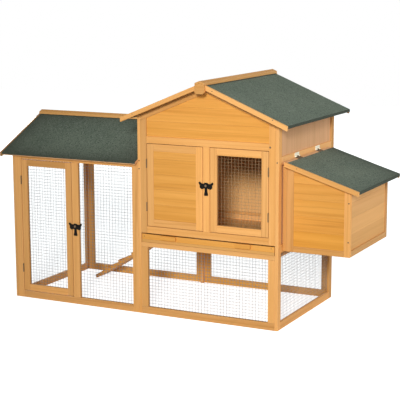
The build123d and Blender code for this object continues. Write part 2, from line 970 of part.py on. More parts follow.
# The front strip stands before the felt; the back strip lies under it
with BuildPart() as lid_edge_strips:
    for start, right, top in ((lid_front, lid_felt_right, 0), (lid_back_strip, lid_right, deck_top)):
        with BuildSketch(Plane.XZ.offset(-start)):
            outline(
                lid_point(lid_strip_left, top),
                lid_point(lid_strip_left, verge_depth),
                lid_point(right, verge_depth),
                lid_point(right, top),
            )
        extrude(amount=-lid_strip_thickness)
keep(lid_edge_strips, "lid_edge_strips")


# Doors

def door_frame(left, right, low, high, stile, rail):
    """Draws a door's two stiles and two rails."""
    bar(left, left + stile, low, high)
    bar(right - stile, right, low, high)
    rail_left = left + stile + hairline
    rail_right = right - stile - hairline
    bar(rail_left, rail_right, low, low + rail)
    bar(rail_left, rail_right, high - rail, high)


door_wire_inset = door_thickness - wire_setback - wire_thickness

with BuildPart() as left_door_frame:
    with BuildSketch(front_plane(0)):
        door_frame(left_door_left, left_door_right, door_bottom, door_top, door_stile, door_rail)
    extrude(amount=-door_thickness)
keep(left_door_frame, "left_door_frame")

with BuildPart() as left_door_boards:
    with BuildSketch(front_plane(door_board_inset)):
        planks(
            left_door_left + door_stile + hairline,
            left_door_right - door_stile - hairline,
            door_bottom + door_rail + hairline,
            door_top - door_rail - hairline,
        )
    extrude(amount=-board_thickness)
keep(left_door_boards, "left_door_boards")

with BuildPart() as right_door_frame:
    with BuildSketch(front_plane(0)):
        door_frame(right_door_left, right_door_right, door_bottom, door_top, door_stile, door_rail)
    extrude(amount=-door_thickness)
keep(right_door_frame, "right_door_frame")

with BuildPart() as right_door_mesh:
    with BuildSketch(front_plane(door_wire_inset)):
        grille(
            right_door_left + door_stile,
            right_door_right - door_stile,
            door_bottom + door_rail,
            door_top - door_rail,
        )
    extrude(amount=-wire_thickness)
keep(right_door_mesh, "right_door_mesh")

with BuildPart() as run_door_frame:
    with BuildSketch(front_plane(0)):
        door_frame(
            run_door_left,
            run_door_right,
            run_door_bottom,
            run_door_top,
            run_door_stile,
            run_door_rail,
        )
    extrude(amount=-door_thickness)
keep(run_door_frame, "run_door_frame")

with BuildPart() as run_door_mesh:
    with BuildSketch(front_plane(door_wire_inset)):
        grille(
            run_door_left + run_door_stile,
            run_door_right - run_door_stile,
            run_door_bottom + run_door_rail,
            run_door_top - run_door_rail,
        )
    extrude(amount=-wire_thickness)
keep(run_door_mesh, "run_door_mesh")


# Tray

tray_left = house_inner_left + tray_side_gap
tray_right = house_inner_right - tray_side_gap
tray_face = tray_setback - half_depth
tray_lip = tray_lip_setback - half_depth
tray_back = tray_face + tray_depth
tray_wall_front = tray_face + tray_front_thickness + hairline
tray_on_base = tray_floor + hairline
grip_bottom = tray_on_base + grip_rise

# A board that stands on the tray's base at its front, with two wooden grips nailed to it
with BuildPart() as tray_front:
    with BuildSketch(front_plane(tray_setback)):
        bar(tray_left, tray_right, tray_on_base, tray_top)
    extrude(amount=-tray_front_thickness)
    with BuildSketch(front_plane(tray_setback - hairline)):
        for place in grip_places:
            grip_left = house_middle + place - grip_width / 2
            bar(grip_left, grip_left + grip_width, grip_bottom, grip_bottom + grip_height)
    extrude(amount=grip_thickness)
keep(tray_front, "tray_front")

with BuildPart() as tray_box:
    with BuildSketch(Plane.XY.offset(tray_bottom)):
        bar(tray_left, tray_right, tray_lip, tray_back)
    extrude(amount=tray_base)
    with BuildSketch(Plane.XY.offset(tray_on_base)):
        wall_left = tray_left + tray_wall
        wall_right = tray_right - tray_wall
        bar(tray_left, wall_left, tray_wall_front, tray_back)
        bar(wall_right, tray_right, tray_wall_front, tray_back)
        bar(wall_left + hairline, wall_right - hairline, tray_back - tray_wall, tray_back)
    extrude(amount=tray_wall_height)
keep(tray_box, "tray_box")


# Ramp

ramp_pivot_x = house_left - flat_barrel_offset
ramp_hinge_height = floor_rail_bottom - ramp_hinge_drop
ramp_run = cos(radians(ramp_pitch))
ramp_fall = sin(radians(ramp_pitch))
ramp_under = flat_barrel_offset + ramp_thickness
ramp_middle = pop_hole_near + pop_hole_width / 2
ramp_foot = (ramp_hinge_height - ramp_under * ramp_run - ramp_foot_clearance) / ramp_fall


def ramp_point(along, below):
    """A point of the ramp's section, `along` it from the pin and `below` square to it."""
    return (
        ramp_pivot_x - along * ramp_run + below * ramp_fall,
        ramp_hinge_height - along * ramp_fall - below * ramp_run,
    )


def ramp_head(below):
    """How far along the ramp its upright upper end lies, `below` the pin."""
    return (ramp_pivot_x + below * ramp_fall - house_left + ramp_wall_gap) / ramp_run


cleat_seat = flat_barrel_offset - hairline
cleat_count = int((ramp_foot - ramp_leaf_reach) / cleat_pitch)

with BuildPart() as ramp:
    with BuildSketch(Plane.XZ.offset(ramp_width / 2 - ramp_middle)):
        outline(
            ramp_point(ramp_head(flat_barrel_offset), flat_barrel_offset),
            ramp_point(ramp_foot, flat_barrel_offset),
            ramp_point(ramp_foot, ramp_under),
            ramp_point(ramp_head(ramp_under), ramp_under),
        )
        for number in range(1, cleat_count + 1):
            start = number * cleat_pitch - cleat_width / 2
            outline(
                ramp_point(start, cleat_seat),
                ramp_point(start + cleat_width, cleat_seat),
                ramp_point(start + cleat_width, cleat_seat - cleat_height),
                ramp_point(start, cleat_seat - cleat_height),
            )
    extrude(amount=-ramp_width)
keep(ramp, "ramp")


# Hinges

def hinge_leaf(barrel, low, high, reach, length, outer):
    """Adds one hinge leaf to the part being built.

    The barrel plane lies at the middle of the pin, square to it. The leaf leaves the
    pin along the plane's x direction, between low and high across it. An outer leaf
    has the two end knuckles, an inner leaf has the middle one.
    """
    root = barrel_radius + leaf_clearance
    third = length / 3
    if outer:
        knuckles = ((-length / 2, -third / 2), (third / 2, length / 2))
    else:
        knuckles = ((-third / 2 + knuckle_gap, third / 2 - knuckle_gap),)
    with BuildSketch(barrel.offset(-length / 2)) as plate:
        bar(root, reach, low, high)
    extrude(plate.sketch, amount=length)
    for start, end in knuckles:
        with BuildSketch(barrel.offset(start)) as knuckle:
            Circle(barrel_radius)
            bar(0, root + hairline, low, high)
            Circle(pin_radius + pin_clearance, mode=Mode.SUBTRACT)
        extrude(knuckle.sketch, amount=end - start)


def door_barrel(gap_middle, height):
    """Plane at the middle of a door hinge's pin; its x direction points into the gap."""
    place = (gap_middle, -half_depth - door_barrel_offset, height)
    return Plane(origin=place, x_dir=(0, 1, 0), z_dir=(0, 0, 1))


def level_barrel(x, y, height, turn):
    """Plane at the middle of a level hinge's pin; its x direction leans `turn` from upright."""
    lean = (sin(radians(turn)), 0, cos(radians(turn)))
    return Plane(origin=(x, y, height), x_dir=lean, z_dir=(0, 1, 0))


house_hinge_heights = (door_bottom + house_hinge_inset, door_top - house_hinge_inset)
run_hinge_heights = (run_door_bottom + run_hinge_low_inset, run_door_top - run_hinge_high_inset)
left_hinges = [door_barrel(left_door_left - door_gap / 2, z) for z in house_hinge_heights]
right_hinges = [door_barrel(right_door_right + door_gap / 2, z) for z in house_hinge_heights]
run_hinges = [door_barrel(run_door_left - door_gap / 2, z) for z in run_hinge_heights]

lid_hinge_places = (nest_front + lid_hinge_front_inset, nest_back - lid_hinge_back_inset)
ramp_hinge_places = [ramp_middle + side * ramp_hinge_spread / 2 for side in (-1, 1)]


def lid_hinges(turn):
    """Barrel planes of the lid's hinges."""
    return [level_barrel(lid_pivot_x, y, lid_pivot_height, turn) for y in lid_hinge_places]


def ramp_hinges(turn):
    """Barrel planes of the ramp's hinges."""
    return [level_barrel(ramp_pivot_x, y, ramp_hinge_height, turn) for y in ramp_hinge_places]


near = leaf_seat
far = leaf_seat + leaf_thickness
flat_near = flat_barrel_offset - far
flat_far = flat_barrel_offset - near
upright = 0
lid_turn = 90 + lid_pitch
ramp_turn = 270 - ramp_pitch

with BuildPart() as fixed_hinge_leaves:
    for barrel in left_hinges + run_hinges:
        hinge_leaf(barrel, near, far, door_leaf_reach, door_hinge_length, True)
    for barrel in right_hinges:
        hinge_leaf(barrel, -far, -near, door_leaf_reach, door_hinge_length, True)
    for barrel in lid_hinges(upright):
        hinge_leaf(barrel, -flat_far, -flat_near, lid_wall_reach, lid_hinge_length, True)
    for barrel in ramp_hinges(upright):
        hinge_leaf(barrel, flat_near, flat_far, ramp_wall_reach, ramp_hinge_length, True)
keep(fixed_hinge_leaves, "fixed_hinge_leaves")

with BuildPart() as left_door_hinge_leaves:
    for barrel in left_hinges:
        hinge_leaf(barrel, -far, -near, door_leaf_reach, door_hinge_length, False)
keep(left_door_hinge_leaves, "left_door_hinge_leaves")

with BuildPart() as right_door_hinge_leaves:
    for barrel in right_hinges:
        hinge_leaf(barrel, near, far, door_leaf_reach, door_hinge_length, False)
keep(right_door_hinge_leaves, "right_door_hinge_leaves")

with BuildPart() as run_door_hinge_leaves:
    for barrel in run_hinges:
        hinge_leaf(barrel, -far, -near, door_leaf_reach, door_hinge_length, False)
keep(run_door_hinge_leaves, "run_door_hinge_leaves")

with BuildPart() as lid_hinge_leaves:
    for barrel in lid_hinges(lid_turn):
        hinge_leaf(barrel, flat_near, flat_far, lid_leaf_reach, lid_hinge_length, False)
keep(lid_hinge_leaves, "lid_hinge_leaves")

with BuildPart() as ramp_hinge_leaves:
    for barrel in ramp_hinges(ramp_turn):
        hinge_leaf(barrel, -flat_far, -flat_near, ramp_leaf_reach, ramp_hinge_length, False)
keep(ramp_hinge_leaves, "ramp_hinge_leaves")

pins = [(barrel, door_hinge_length) for barrel in left_hinges + right_hinges + run_hinges]
pins += [(barrel, lid_hinge_length) for barrel in lid_hinges(upright)]
pins += [(barrel, ramp_hinge_length) for barrel in ramp_hinges(upright)]

with BuildPart() as hinge_pins:
    for barrel, length in pins:
        with BuildSketch(barrel):
            Circle(pin_radius)
        extrude(amount=length / 2 + pin_head, both=True)
keep(hinge_pins, "hinge_pins")


# Latches and screws

house_latch_place = (house_middle, (door_bottom + door_top) / 2 + latch_rise)
run_latch_place = (
    (run_stile_left + run_stile_right) / 2,
    (run_door_bottom + run_door_top) / 2 + run_latch_rise,
)


def winged_button():
    """Draws a turn button: two forked wings, a small crown and a flared tail."""
    for side in (-1, 1):
        outline(*((side * x, y) for x, y in button_half))


def latch_button(place):
    """Adds a turn button with a round hole for its screw to the part being built."""
    with BuildSketch() as wings:
        winged_button()
        fillet(wings.vertices(), latch_rounding)
        Circle(latch_screw_radius + pin_clearance, mode=Mode.SUBTRACT)
    with BuildSketch(front_plane(-latch_clearance)) as button:
        with Locations(place):
            add(wings.sketch)
    extrude(button.sketch, amount=latch_thickness)


with BuildPart() as house_latch:
    latch_button(house_latch_place)
keep(house_latch, "house_latch")

with BuildPart() as run_latch:
    latch_button(run_latch_place)
keep(run_latch, "run_latch")

screw_seat = latch_clearance + latch_thickness + hairline

with BuildPart() as screws:
    for place in (house_latch_place, run_latch_place):
        with BuildSketch(front_plane(0)):
            with Locations(place):
                Circle(latch_screw_radius)
        extrude(amount=screw_seat)
        with BuildSketch(front_plane(-screw_seat)):
            with Locations(place):
                Circle(screw_head_radius)
        extrude(amount=screw_head_thickness)
    with BuildSketch(front_plane(0)):
        left_post = house_left + panel_thickness / 2
        right_post = house_right - panel_thickness / 2
        with Locations(*((left_post, height) for height in left_post_screw_heights)):
            Circle(panel_screw_radius)
        with Locations((right_post, right_post_screw_height)):
            Circle(panel_screw_radius)
    extrude(amount=panel_screw_thickness)
    with BuildSketch(nest_front_plane):
        nest_screw_x = nest_right - nest_screw_inset
        with Locations(*((nest_screw_x, nest_bottom + rise) for rise in nest_screw_rises)):
            Circle(panel_screw_radius)
    extrude(amount=panel_screw_thickness)
keep(screws, "screws")
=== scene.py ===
# %% [markdown]
# # A chicken coop with a roofed run
# The coop is a gabled hen house on legs, with a nest box on its right end and a wire run on its
# left end. Nearly all of it is stained softwood: battens nailed into frames, thin boards set into
# the frames, and welded wire where hens need air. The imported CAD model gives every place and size.
# This lesson dresses it: softened timber with grain, real wire, mineral felt and small hardware.

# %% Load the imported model
import json
from itertools import combinations
from math import cos, pi, radians, sin

import bmesh
import bpy
import numpy as np
from mathutils import Matrix, Vector


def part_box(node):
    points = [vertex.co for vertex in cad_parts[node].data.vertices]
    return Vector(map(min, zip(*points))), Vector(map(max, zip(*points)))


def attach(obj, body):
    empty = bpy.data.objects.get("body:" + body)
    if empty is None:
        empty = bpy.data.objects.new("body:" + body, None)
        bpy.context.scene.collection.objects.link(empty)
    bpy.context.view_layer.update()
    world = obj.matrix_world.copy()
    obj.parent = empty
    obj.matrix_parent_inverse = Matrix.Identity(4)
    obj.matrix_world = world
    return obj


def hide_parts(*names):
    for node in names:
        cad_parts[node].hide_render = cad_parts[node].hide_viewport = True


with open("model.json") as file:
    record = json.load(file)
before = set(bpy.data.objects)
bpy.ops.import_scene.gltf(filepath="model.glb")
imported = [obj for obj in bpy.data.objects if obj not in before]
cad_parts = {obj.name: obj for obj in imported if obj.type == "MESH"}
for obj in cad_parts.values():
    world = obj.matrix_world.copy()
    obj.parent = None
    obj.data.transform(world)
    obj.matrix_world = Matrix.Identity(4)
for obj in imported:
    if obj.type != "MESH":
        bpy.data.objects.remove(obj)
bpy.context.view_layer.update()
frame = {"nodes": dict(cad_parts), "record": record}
body_of = {
    node: body
    for body, nodes in frame["record"]["behaviour"]["bodies"].items()
    for node in nodes
}
slot_of = {part["node"]: part["material_slot"] for part in frame["record"]["subparts"]}

# %% [markdown]
# ## Reading one stick of timber out of a CAD node
# A frame node holds several sticks as loose triangles. To give each stick its own grain and its own
# tone, the node is first taken apart. Edit mode can separate loose parts too, but it would change the
# node and make many objects. So corners at the same place are merged in arrays, and a stick is a group
# of triangles that share corners.

# %% Split a node into its solids
MERGE_PER_METRE = 1e5


def mesh_places(mesh):
    """Reads a mesh's points as one array."""
    places = np.empty(len(mesh.vertices) * 3)
    mesh.vertices.foreach_get("co", places)
    return places.reshape(-1, 3)


def merged_triangles(name):
    """Returns a CAD node's points and triangles, with corners at the same rounded place made one."""
    mesh = frame["nodes"][name].data
    corners = mesh_places(mesh)
    mesh.calc_loop_triangles()
    triangles = np.empty(len(mesh.loop_triangles) * 3, dtype=np.int32)
    mesh.loop_triangles.foreach_get("vertices", triangles)
    keys = np.round(corners * MERGE_PER_METRE).astype(np.int64)
    _, first, inverse = np.unique(keys, axis=0, return_index=True, return_inverse=True)
    return corners[first], inverse.reshape(-1)[triangles].reshape(-1, 3)


def node_solids(name):
    """Returns (points, triangles) of each solid of a CAD node.

    Every corner starts with its own number. It then takes the lowest number in its triangles,
    again and again, until nothing changes, so each solid ends with one number.
    """
    points, triangles = merged_triangles(name)
    labels = np.arange(len(points))
    while True:
        lowest = labels[triangles].min(axis=1)
        fresh = labels.copy()
        np.minimum.at(fresh, triangles.ravel(), np.repeat(lowest, 3))
        if np.array_equal(fresh, labels):
            break
        labels = fresh
    solids = []
    for label in np.unique(labels):
        own = triangles[labels[triangles[:, 0]] == label]
        used, compact = np.unique(own, return_inverse=True)
        solids.append((points[used], compact.reshape(-1, 3)))
    return solids


front_solids = node_solids("house_front_frame")
print("sticks in the house's front frame:", len(front_solids))

# %% [markdown]
# ## Finding which way a stick runs
# A sawn stick has four long faces and two ends, and its grain runs along the long faces. A box around
# it would tell the length of a stick that lies square, but the sticks of a gable lie on the roof's
# slope. So the planes of its faces are found first, and its length is square to two pairs of them.

# %% Directions of a stick
# Normals and distances are rounded to these steps, and shifted so that none lies on a half.
NORMAL_STEPS = 100
DISTANCE_STEPS = 5000
STEP_SHIFT = 0.137
STICK_FACES = 6
LONG_FACES = 4
NEARLY_ONE = 0.9999
NEARLY_NOUGHT = 0.01


def solid_planes(points, triangles):
    """Returns the outward normals and the distances of the planes that bound a solid.

    A triangle's normal is the cross product of two edges, its distance is the normal's product
    with a corner, and triangles with the same rounded normal and distance share one plane.
    """
    first, second, third = points[triangles].transpose(1, 0, 2)
    normals = np.cross(second - first, third - first)
    normals /= np.linalg.norm(normals, axis=1)[:, None]
    distances = np.einsum("ij,ij->i", normals, first)
    steps = np.column_stack([normals * NORMAL_STEPS, distances * DISTANCE_STEPS])
    keys = np.round(steps + STEP_SHIFT).astype(np.int64)
    _, index = np.unique(keys, axis=0, return_index=True)
    return normals[index], distances[index]


def stick_axes(points, triangles):
    """Finds a stick's directions and ends, or None where its outline is another one.

    The length is square to two pairs of opposite faces that are square to each other, and the
    two faces that are left are its ends. Where several directions fit, the longest is taken.
    """
    normals, distances = solid_planes(points, triangles)
    if len(normals) != STICK_FACES:
        return None
    best = None
    longest = 0.0
    for one, other in combinations(normals, 2):
        along = np.cross(one, other)
        sides = np.abs(normals @ along) < NEARLY_NOUGHT
        if np.linalg.norm(along) < NEARLY_ONE or sides.sum() != LONG_FACES:
            continue
        pairs = np.abs(normals[sides] @ np.stack([one, other]).T)
        reach = np.ptp(points @ along)
        if pairs.max(axis=1).min() >= NEARLY_ONE and reach > longest:
            longest = reach
            best = (one, along, normals[~sides], distances[~sides])
    return best


plain_sticks = [solid for solid in front_solids if stick_axes(*solid) is not None]
print("plain sticks among them:", len(plain_sticks))

# %% [markdown]
# ## Sawn sticks with softened edges
# A planed batten has edges that are rounded by a millimetre or so. A bevel on a box would do, but many
# ends here are cut on the slope of a roof. So a stick is a rounded rectangle carried along its length,
# and each point of the rectangle stops where it meets the end's plane.

# %% Rounded sticks
ARC_STEPS = 3
END_ANGLES = np.linspace(0.35, pi / 2, 3)
END_WEAR = [0.0, 1.0, 0.0]
LARGEST_ROUNDING = 0.45
CORNER_LOSS = 0.8


def rounded_rectangle(half_u, half_v, radius):
    """Points of a rounded rectangle: four corner centres, each with a quarter circle around it."""
    angles = np.linspace(0, pi / 2, ARC_STEPS)
    turns = np.arange(4)[:, None] * pi / 2 + angles
    side_u = np.array([1, -1, -1, 1])[:, None] * (half_u - radius)
    side_v = np.array([1, 1, -1, -1])[:, None] * (half_v - radius)
    return np.stack([side_u + radius * np.cos(turns), side_v + radius * np.sin(turns)], -1).reshape(-1, 2)


def ring_faces(rings, count, copies=1):
    """Quads between neighbouring rings of a closed profile, and its two end faces, for each copy."""
    ring, step = np.meshgrid(np.arange(rings - 1), np.arange(count), indexing="ij")
    here = ring * count + step
    after = ring * count + (step + 1) % count
    quads = np.stack([here, after, after + count, here + count], -1).reshape(-1, 4)
    caps = np.stack([np.arange(count)[::-1], np.arange(count) + (rings - 1) * count])
    shifts = np.arange(copies)[:, None, None] * rings * count
    return (quads + shifts).reshape(-1, 4).tolist() + (caps + shifts).reshape(-1, count).tolist()


def rounded_stick(points, axes, radius):
    """A rounded rectangle carried between two end planes.

    Towards an end, the rectangle shrinks by radius times one minus a sine while it moves on by
    radius times one minus a cosine, which rounds the end's edges too. A point's place along the
    stick is where the end's plane cuts the line through it. The last array marks the edges.
    """
    across, along, end_normals, end_distances = axes
    other = np.cross(along, across)
    u, v = points @ across, points @ other
    centre = across * (u.max() + u.min()) / 2 + other * (v.max() + v.min()) / 2
    half_u, half_v = np.ptp(u) / 2, np.ptp(v) / 2
    radius = min(radius, LARGEST_ROUNDING * half_u, LARGEST_ROUNDING * half_v)
    insets = radius * (1 - np.sin(END_ANGLES))
    steps = radius * (1 - np.cos(END_ANGLES))
    rings, worn = [], []
    for end, sign in zip(np.argsort(end_normals @ along), (1, -1)):
        loops = []
        for inset, step in zip(insets, steps):
            section = rounded_rectangle(half_u - inset, half_v - inset, radius - CORNER_LOSS * inset)
            flat = centre + section[:, :1] * across + section[:, 1:] * other
            reach = (end_distances[end] - flat @ end_normals[end]) / (end_normals[end] @ along)
            loops.append(flat + (reach + sign * step)[:, None] * along)
        rings += loops[::sign]
        worn += END_WEAR[::sign]
    corner = np.tile((np.arange(ARC_STEPS) == ARC_STEPS // 2).astype(float), 4)
    arris = np.maximum(np.array(worn)[:, None], corner[None, :]).ravel()
    return np.concatenate(rings), ring_faces(len(rings), len(corner)), arris


print("points around a stick:", 4 * ARC_STEPS, "rings along it:", 2 * len(END_ANGLES))

# %% [markdown]
# ## Pieces of another outline
# Not every piece has the outline of a stick: the latches are winged castings, and some boards are
# cut to a gable. A casting could be sculpted by hand, but its CAD faces have the outline already. So
# such a solid keeps them, and a bevel softens only the edges where two faces meet at a clear angle.

# %% Bevelled solids
SHARP_ANGLE = radians(25)
BEVEL_SEGMENTS = 2
BEVEL_PROFILE = 0.5
LATCH_EDGE = 0.0012


def mesh_faces(mesh):
    """Reads a mesh's faces as lists of point numbers."""
    corners = np.empty(len(mesh.loops), dtype=np.int32)
    mesh.loops.foreach_get("vertex_index", corners)
    starts = np.empty(len(mesh.polygons), dtype=np.int32)
    mesh.polygons.foreach_get("loop_start", starts)
    return [face.tolist() for face in np.split(corners, starts[1:])]


def bevelled_solid(points, triangles, radius):
    """The solid's own faces, with every edge bevelled where they meet at more than SHARP_ANGLE."""
    mesh = bpy.data.meshes.new("bevelled_solid")
    mesh.from_pydata(points, [], triangles.tolist())
    work = bmesh.new()
    work.from_mesh(mesh)
    sharp = [edge for edge in work.edges if edge.calc_face_angle(0) > SHARP_ANGLE]
    bmesh.ops.bevel(
        work, geom=sharp, offset=radius, segments=BEVEL_SEGMENTS, profile=BEVEL_PROFILE,
        affect="EDGES", clamp_overlap=True,
    )
    work.to_mesh(mesh)
    work.free()
    places, faces = mesh_places(mesh), mesh_faces(mesh)
    bpy.data.meshes.remove(mesh)
    return places, faces, np.zeros(len(places))


latches = {node: bevelled_solid(*node_solids(node)[0], LATCH_EDGE) for node in ("house_latch", "run_latch")}
print("faces of each latch:", [len(faces) for _, faces, _ in latches.values()])

# %% [markdown]
# ## From arrays to pieces
# A dressed piece is one mesh object that stands for one CAD node. It could be a changed copy of the
# node, but a new mesh leaves the CAD model as it is and can store values for the finish at every point.

# %% Pieces
def joined(shells):
    """Joins shells of points and faces: each shell's faces count on from the shell before."""
    starts = np.cumsum([0] + [len(points) for points, _ in shells]).tolist()
    faces = []
    for start, (_, own_faces) in zip(starts, shells):
        faces += [[corner + start for corner in face] for face in own_faces]
    return np.concatenate([points for points, _ in shells]), faces


def new_piece(name, points, faces, **attributes):
    """Makes a mesh object from points and faces, with one value or vector per point and attribute."""
    mesh = bpy.data.meshes.new(name)
    mesh.from_pydata(np.asarray(points), [], faces)
    for key, values in attributes.items():
        values = np.asarray(values, dtype=np.float32)
        kind, field = ("FLOAT", "value") if values.ndim == 1 else ("FLOAT_VECTOR", "vector")
        mesh.attributes.new(key, kind, "POINT").data.foreach_set(field, values.ravel())
    mesh.update()
    piece = bpy.data.objects.new(name, mesh)
    bpy.context.scene.collection.objects.link(piece)
    return piece


def stand_for(piece, node, material):
    """Lets a piece stand for a CAD node: same body, its own material."""
    piece.data.materials.append(material)
    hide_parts(node)
    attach(piece, body_of[node])
    return piece


print("slots to fill:", sorted(set(slot_of.values())))

# %% [markdown]
# ## A stick's own shade
# On the real coop the stain is uneven from stick to stick, and the nest's outer boards are paler. Part of
# the tables is painted light and shade: the gable boards and the middle stile are painted brighter where
# the lamp falls fullest, the ridge caps, the back verges and the far stiles are painted darker where less
# light reaches them, and inside the house the boards and the roof decks are painted in shade. Painting
# it on an image would need every stick unwrapped. Three short tables hold what differs instead, so the
# finish can tint its colour point by point.

# %% Shade tables
# One shade for a whole node, or one for each of its sticks, from left to right, from front to back and
# from the bottom up. A shade is a number or a colour.
# Besides uneven stain, these shades hold painted light and shade: brighter sticks where the lamp falls
# fullest, darker ones under eaves and caps, and a bluish painted reflection on the nest's top outer board.
SHADES = {
    "house_front_frame": (0.82, 0.92, 1.0, 1.05, 1.1, 1.0, 1.05),
    "left_door_frame": (0.92, 0.94, 0.95, 1.12),
    "right_door_frame": (0.98, 1.05, 1.06, 0.95),
    "run_front_frame": (1.03, 0.91, 0.92, 0.98, 0.9),
    "run_door_frame": (0.97, 1.1, 0.78, 0.92),
    "lower_front_frame": (0.83, 0.87, 0.95, 1.04),
    "lower_back_frame": (0.95, 1.0, 1.0, 0.75),
    "run_left_frame": (0.95, 1.1, 1.0, 0.78),
    "nest_front_frame": (0.88, 0.84, 0.86, 1.06),
    "nest_back_frame": 0.65,
    "nest_outer_rails": 0.79,
    "nest_boards": (
        (0.99, 0.94, 0.70), (0.95, 0.89, 0.75), (0.99, 0.98, 0.93), (0.98, 0.99, 1.04), (0.98, 1.0, 1.06),
        0.96, 0.96, 0.96, 0.96, 0.96, (0.92, 0.90, 0.85), 1.04, (0.95, 0.96, 1.0), (1.02, 1.06, 1.15),
    ),
    "house_right_frame": (1.07, 0.97, 1.0, 1.08, 1.0, 1.0, 1.0, 1.0, 0.74),
    "house_front_boards": 1.07,
    "left_door_boards": 0.96,
    "house_ridge_cap": 0.88,
    "run_ridge_cap": 0.92,
    "house_verge_boards": (1.05, 0.5, 1.12, 0.5),
    "run_verge_boards": 0.5,
    # Painted shade: the roof decks are darkened to keep the inside of the house dim.
    "house_roof_decks": 0.25,
}
# How far a stick's colour moves towards a pale tone, from 0 to 1, given in the same way: partly
# painted light, as a highlight and a sheen, partly a paler tone of the wood.
PALE_SHIFTS = {
    "nest_boards": (0.0,) * 10 + (1.0,) * 4,
    "nest_back_frame": 1.0,
    "nest_outer_rails": 0.6,
    "house_right_frame": (0.3, 0.2, 0.0, 0.8, 0.0, 0.0, 0.0, 0.0, 0.0),
    "house_verge_boards": 0.2,
    "run_front_frame": (0.3, 0.3, 0.1, 0.2, 0.0),
    "run_door_frame": (0.2, 0.2, 0.0, 0.2),
    "run_left_frame": 0.4,
    "lower_front_frame": (0.0, 0.0, 0.3, 0.2),
}
# Tinted faces: node, axis, way, distance from the stick's middle beyond which a point is tinted, tint.
INNER_FACE = 0.001
TRAY_FRONT = 0.308
WHOLE_STICK = -9.0
# The inner faces of the house's boards get painted shade, to keep the inside of the house dim.
PAINTED_INDOOR_SHADE = (0.25, 0.25, 0.25)
TRAY_EDGE = (0.70, 0.65, 0.5)
# The back frames stand in shade; their yellower tint is painted to give that shade a warmer colour.
YELLOWER = (1.0, 1.02, 0.75)
FACE_TINTS = (
    ("house_left_boards", 0, 1, INNER_FACE, PAINTED_INDOOR_SHADE),
    ("house_right_boards", 0, -1, INNER_FACE, PAINTED_INDOOR_SHADE),
    ("house_front_boards", 1, 1, INNER_FACE, PAINTED_INDOOR_SHADE),
    ("left_door_boards", 1, 1, INNER_FACE, PAINTED_INDOOR_SHADE),
    ("tray_box", 1, -1, TRAY_FRONT, TRAY_EDGE),
    ("run_back_frame", 1, -1, WHOLE_STICK, YELLOWER),
    ("lower_back_frame", 1, -1, WHOLE_STICK, YELLOWER),
)
print("shaded nodes:", len(SHADES), "bleached nodes:", len(PALE_SHIFTS), "tinted faces:", len(FACE_TINTS))

# %% [markdown]
# ## Grain and shade at every point
# Grain runs along a stick, whichever way the stick lies, and no two sticks are cut from the same place
# of a tree. Object coordinates would run one pattern through all of them. So each point stores where it
# lies in its own stick, shifted by an amount that is steady for the stick, and the stick's shade.

# %% Values for the finish
NOISE_WAVES = (1271.1, 3117.7, 2691.3)
NOISE_HEIGHT = 43758.5453
SHIFT_TURNS = (0.3, 1.7, 2.9)
SHIFT_REACH = np.array([40.0, 8.0, 8.0])
TONE_TURN = 4.1


def steady_noise(point, turn):
    """A steady value from 0 to 1 for a place: the fraction of a large sine of its coordinates."""
    value = sin(sum(wave * place for wave, place in zip(NOISE_WAVES, point)) + turn) * NOISE_HEIGHT
    return value - np.floor(value)


def grain_places(places, directions):
    """Each point's place in its own stick: along, across and into it, shifted; and the stick's tone."""
    middle = (places.max(axis=0) + places.min(axis=0)) / 2
    order = np.argsort([np.ptp(places @ direction) for direction in directions])[::-1]
    local = (places - middle) @ np.asarray(directions)[order].T
    shift = np.array([steady_noise(middle, turn) for turn in SHIFT_TURNS])
    return local + shift * SHIFT_REACH, steady_noise(middle, TONE_TURN)


def stick_look(node, index, places):
    """Returns each point's tint and paling: the stick's own shade, times the tint of its face."""
    shade, paling = SHADES.get(node, 1.0), PALE_SHIFTS.get(node, 0.0)
    shade = shade[index] if isinstance(shade, tuple) else shade
    paling = paling[index] if isinstance(paling, tuple) else paling
    middle = (places.max(axis=0) + places.min(axis=0)) / 2
    tints = np.ones(places.shape) * shade
    for tinted_node, axis, way, distance, tint in FACE_TINTS:
        if tinted_node == node:
            tints[(places - middle)[:, axis] * way > distance] *= tint
    return tints, np.full(len(places), paling)


first_middle = front_solids[0][0].mean(axis=0)
print("tone of a stick around", first_middle, "is", steady_noise(first_middle, TONE_TURN))

# %% [markdown]
# ## Short names for shader nodes
# A finish is a net of nodes. It could be drawn by hand in the shader editor, but a script can be read
# and run again. Each helper makes one node, and links a socket into it or sets a plain value on it.

# %% Node helpers
def fresh_material(name, **settings):
    """Makes a material with a Principled shader whose plain values are set on its own sockets."""
    material = bpy.data.materials.new(name)
    material.use_nodes = True
    tree = material.node_tree
    shader = tree.nodes["Principled BSDF"]
    for socket, value in settings.items():
        shader.inputs[socket.replace("_", " ")].default_value = value
    return material, tree, shader


def feed(tree, socket, value):
    """Links a socket into an input, or sets a plain value on it."""
    if isinstance(value, bpy.types.NodeSocket):
        tree.links.new(value, socket)
    else:
        socket.default_value = value


def mix_colours(tree, factor, first, second):
    """Mixes two colours by a factor, each a socket or a plain value."""
    node = tree.nodes.new("ShaderNodeMix")
    node.data_type = "RGBA"
    for index, value in ((0, factor), (6, first), (7, second)):
        feed(tree, node.inputs[index], value)
    return node.outputs[2]


def arithmetic(tree, operation, *values, clamp=False):
    """A Math node on sockets or plain numbers."""
    node = tree.nodes.new("ShaderNodeMath")
    node.operation = operation
    node.use_clamp = clamp
    for socket, value in zip(node.inputs, values):
        feed(tree, socket, value)
    return node.outputs[0]


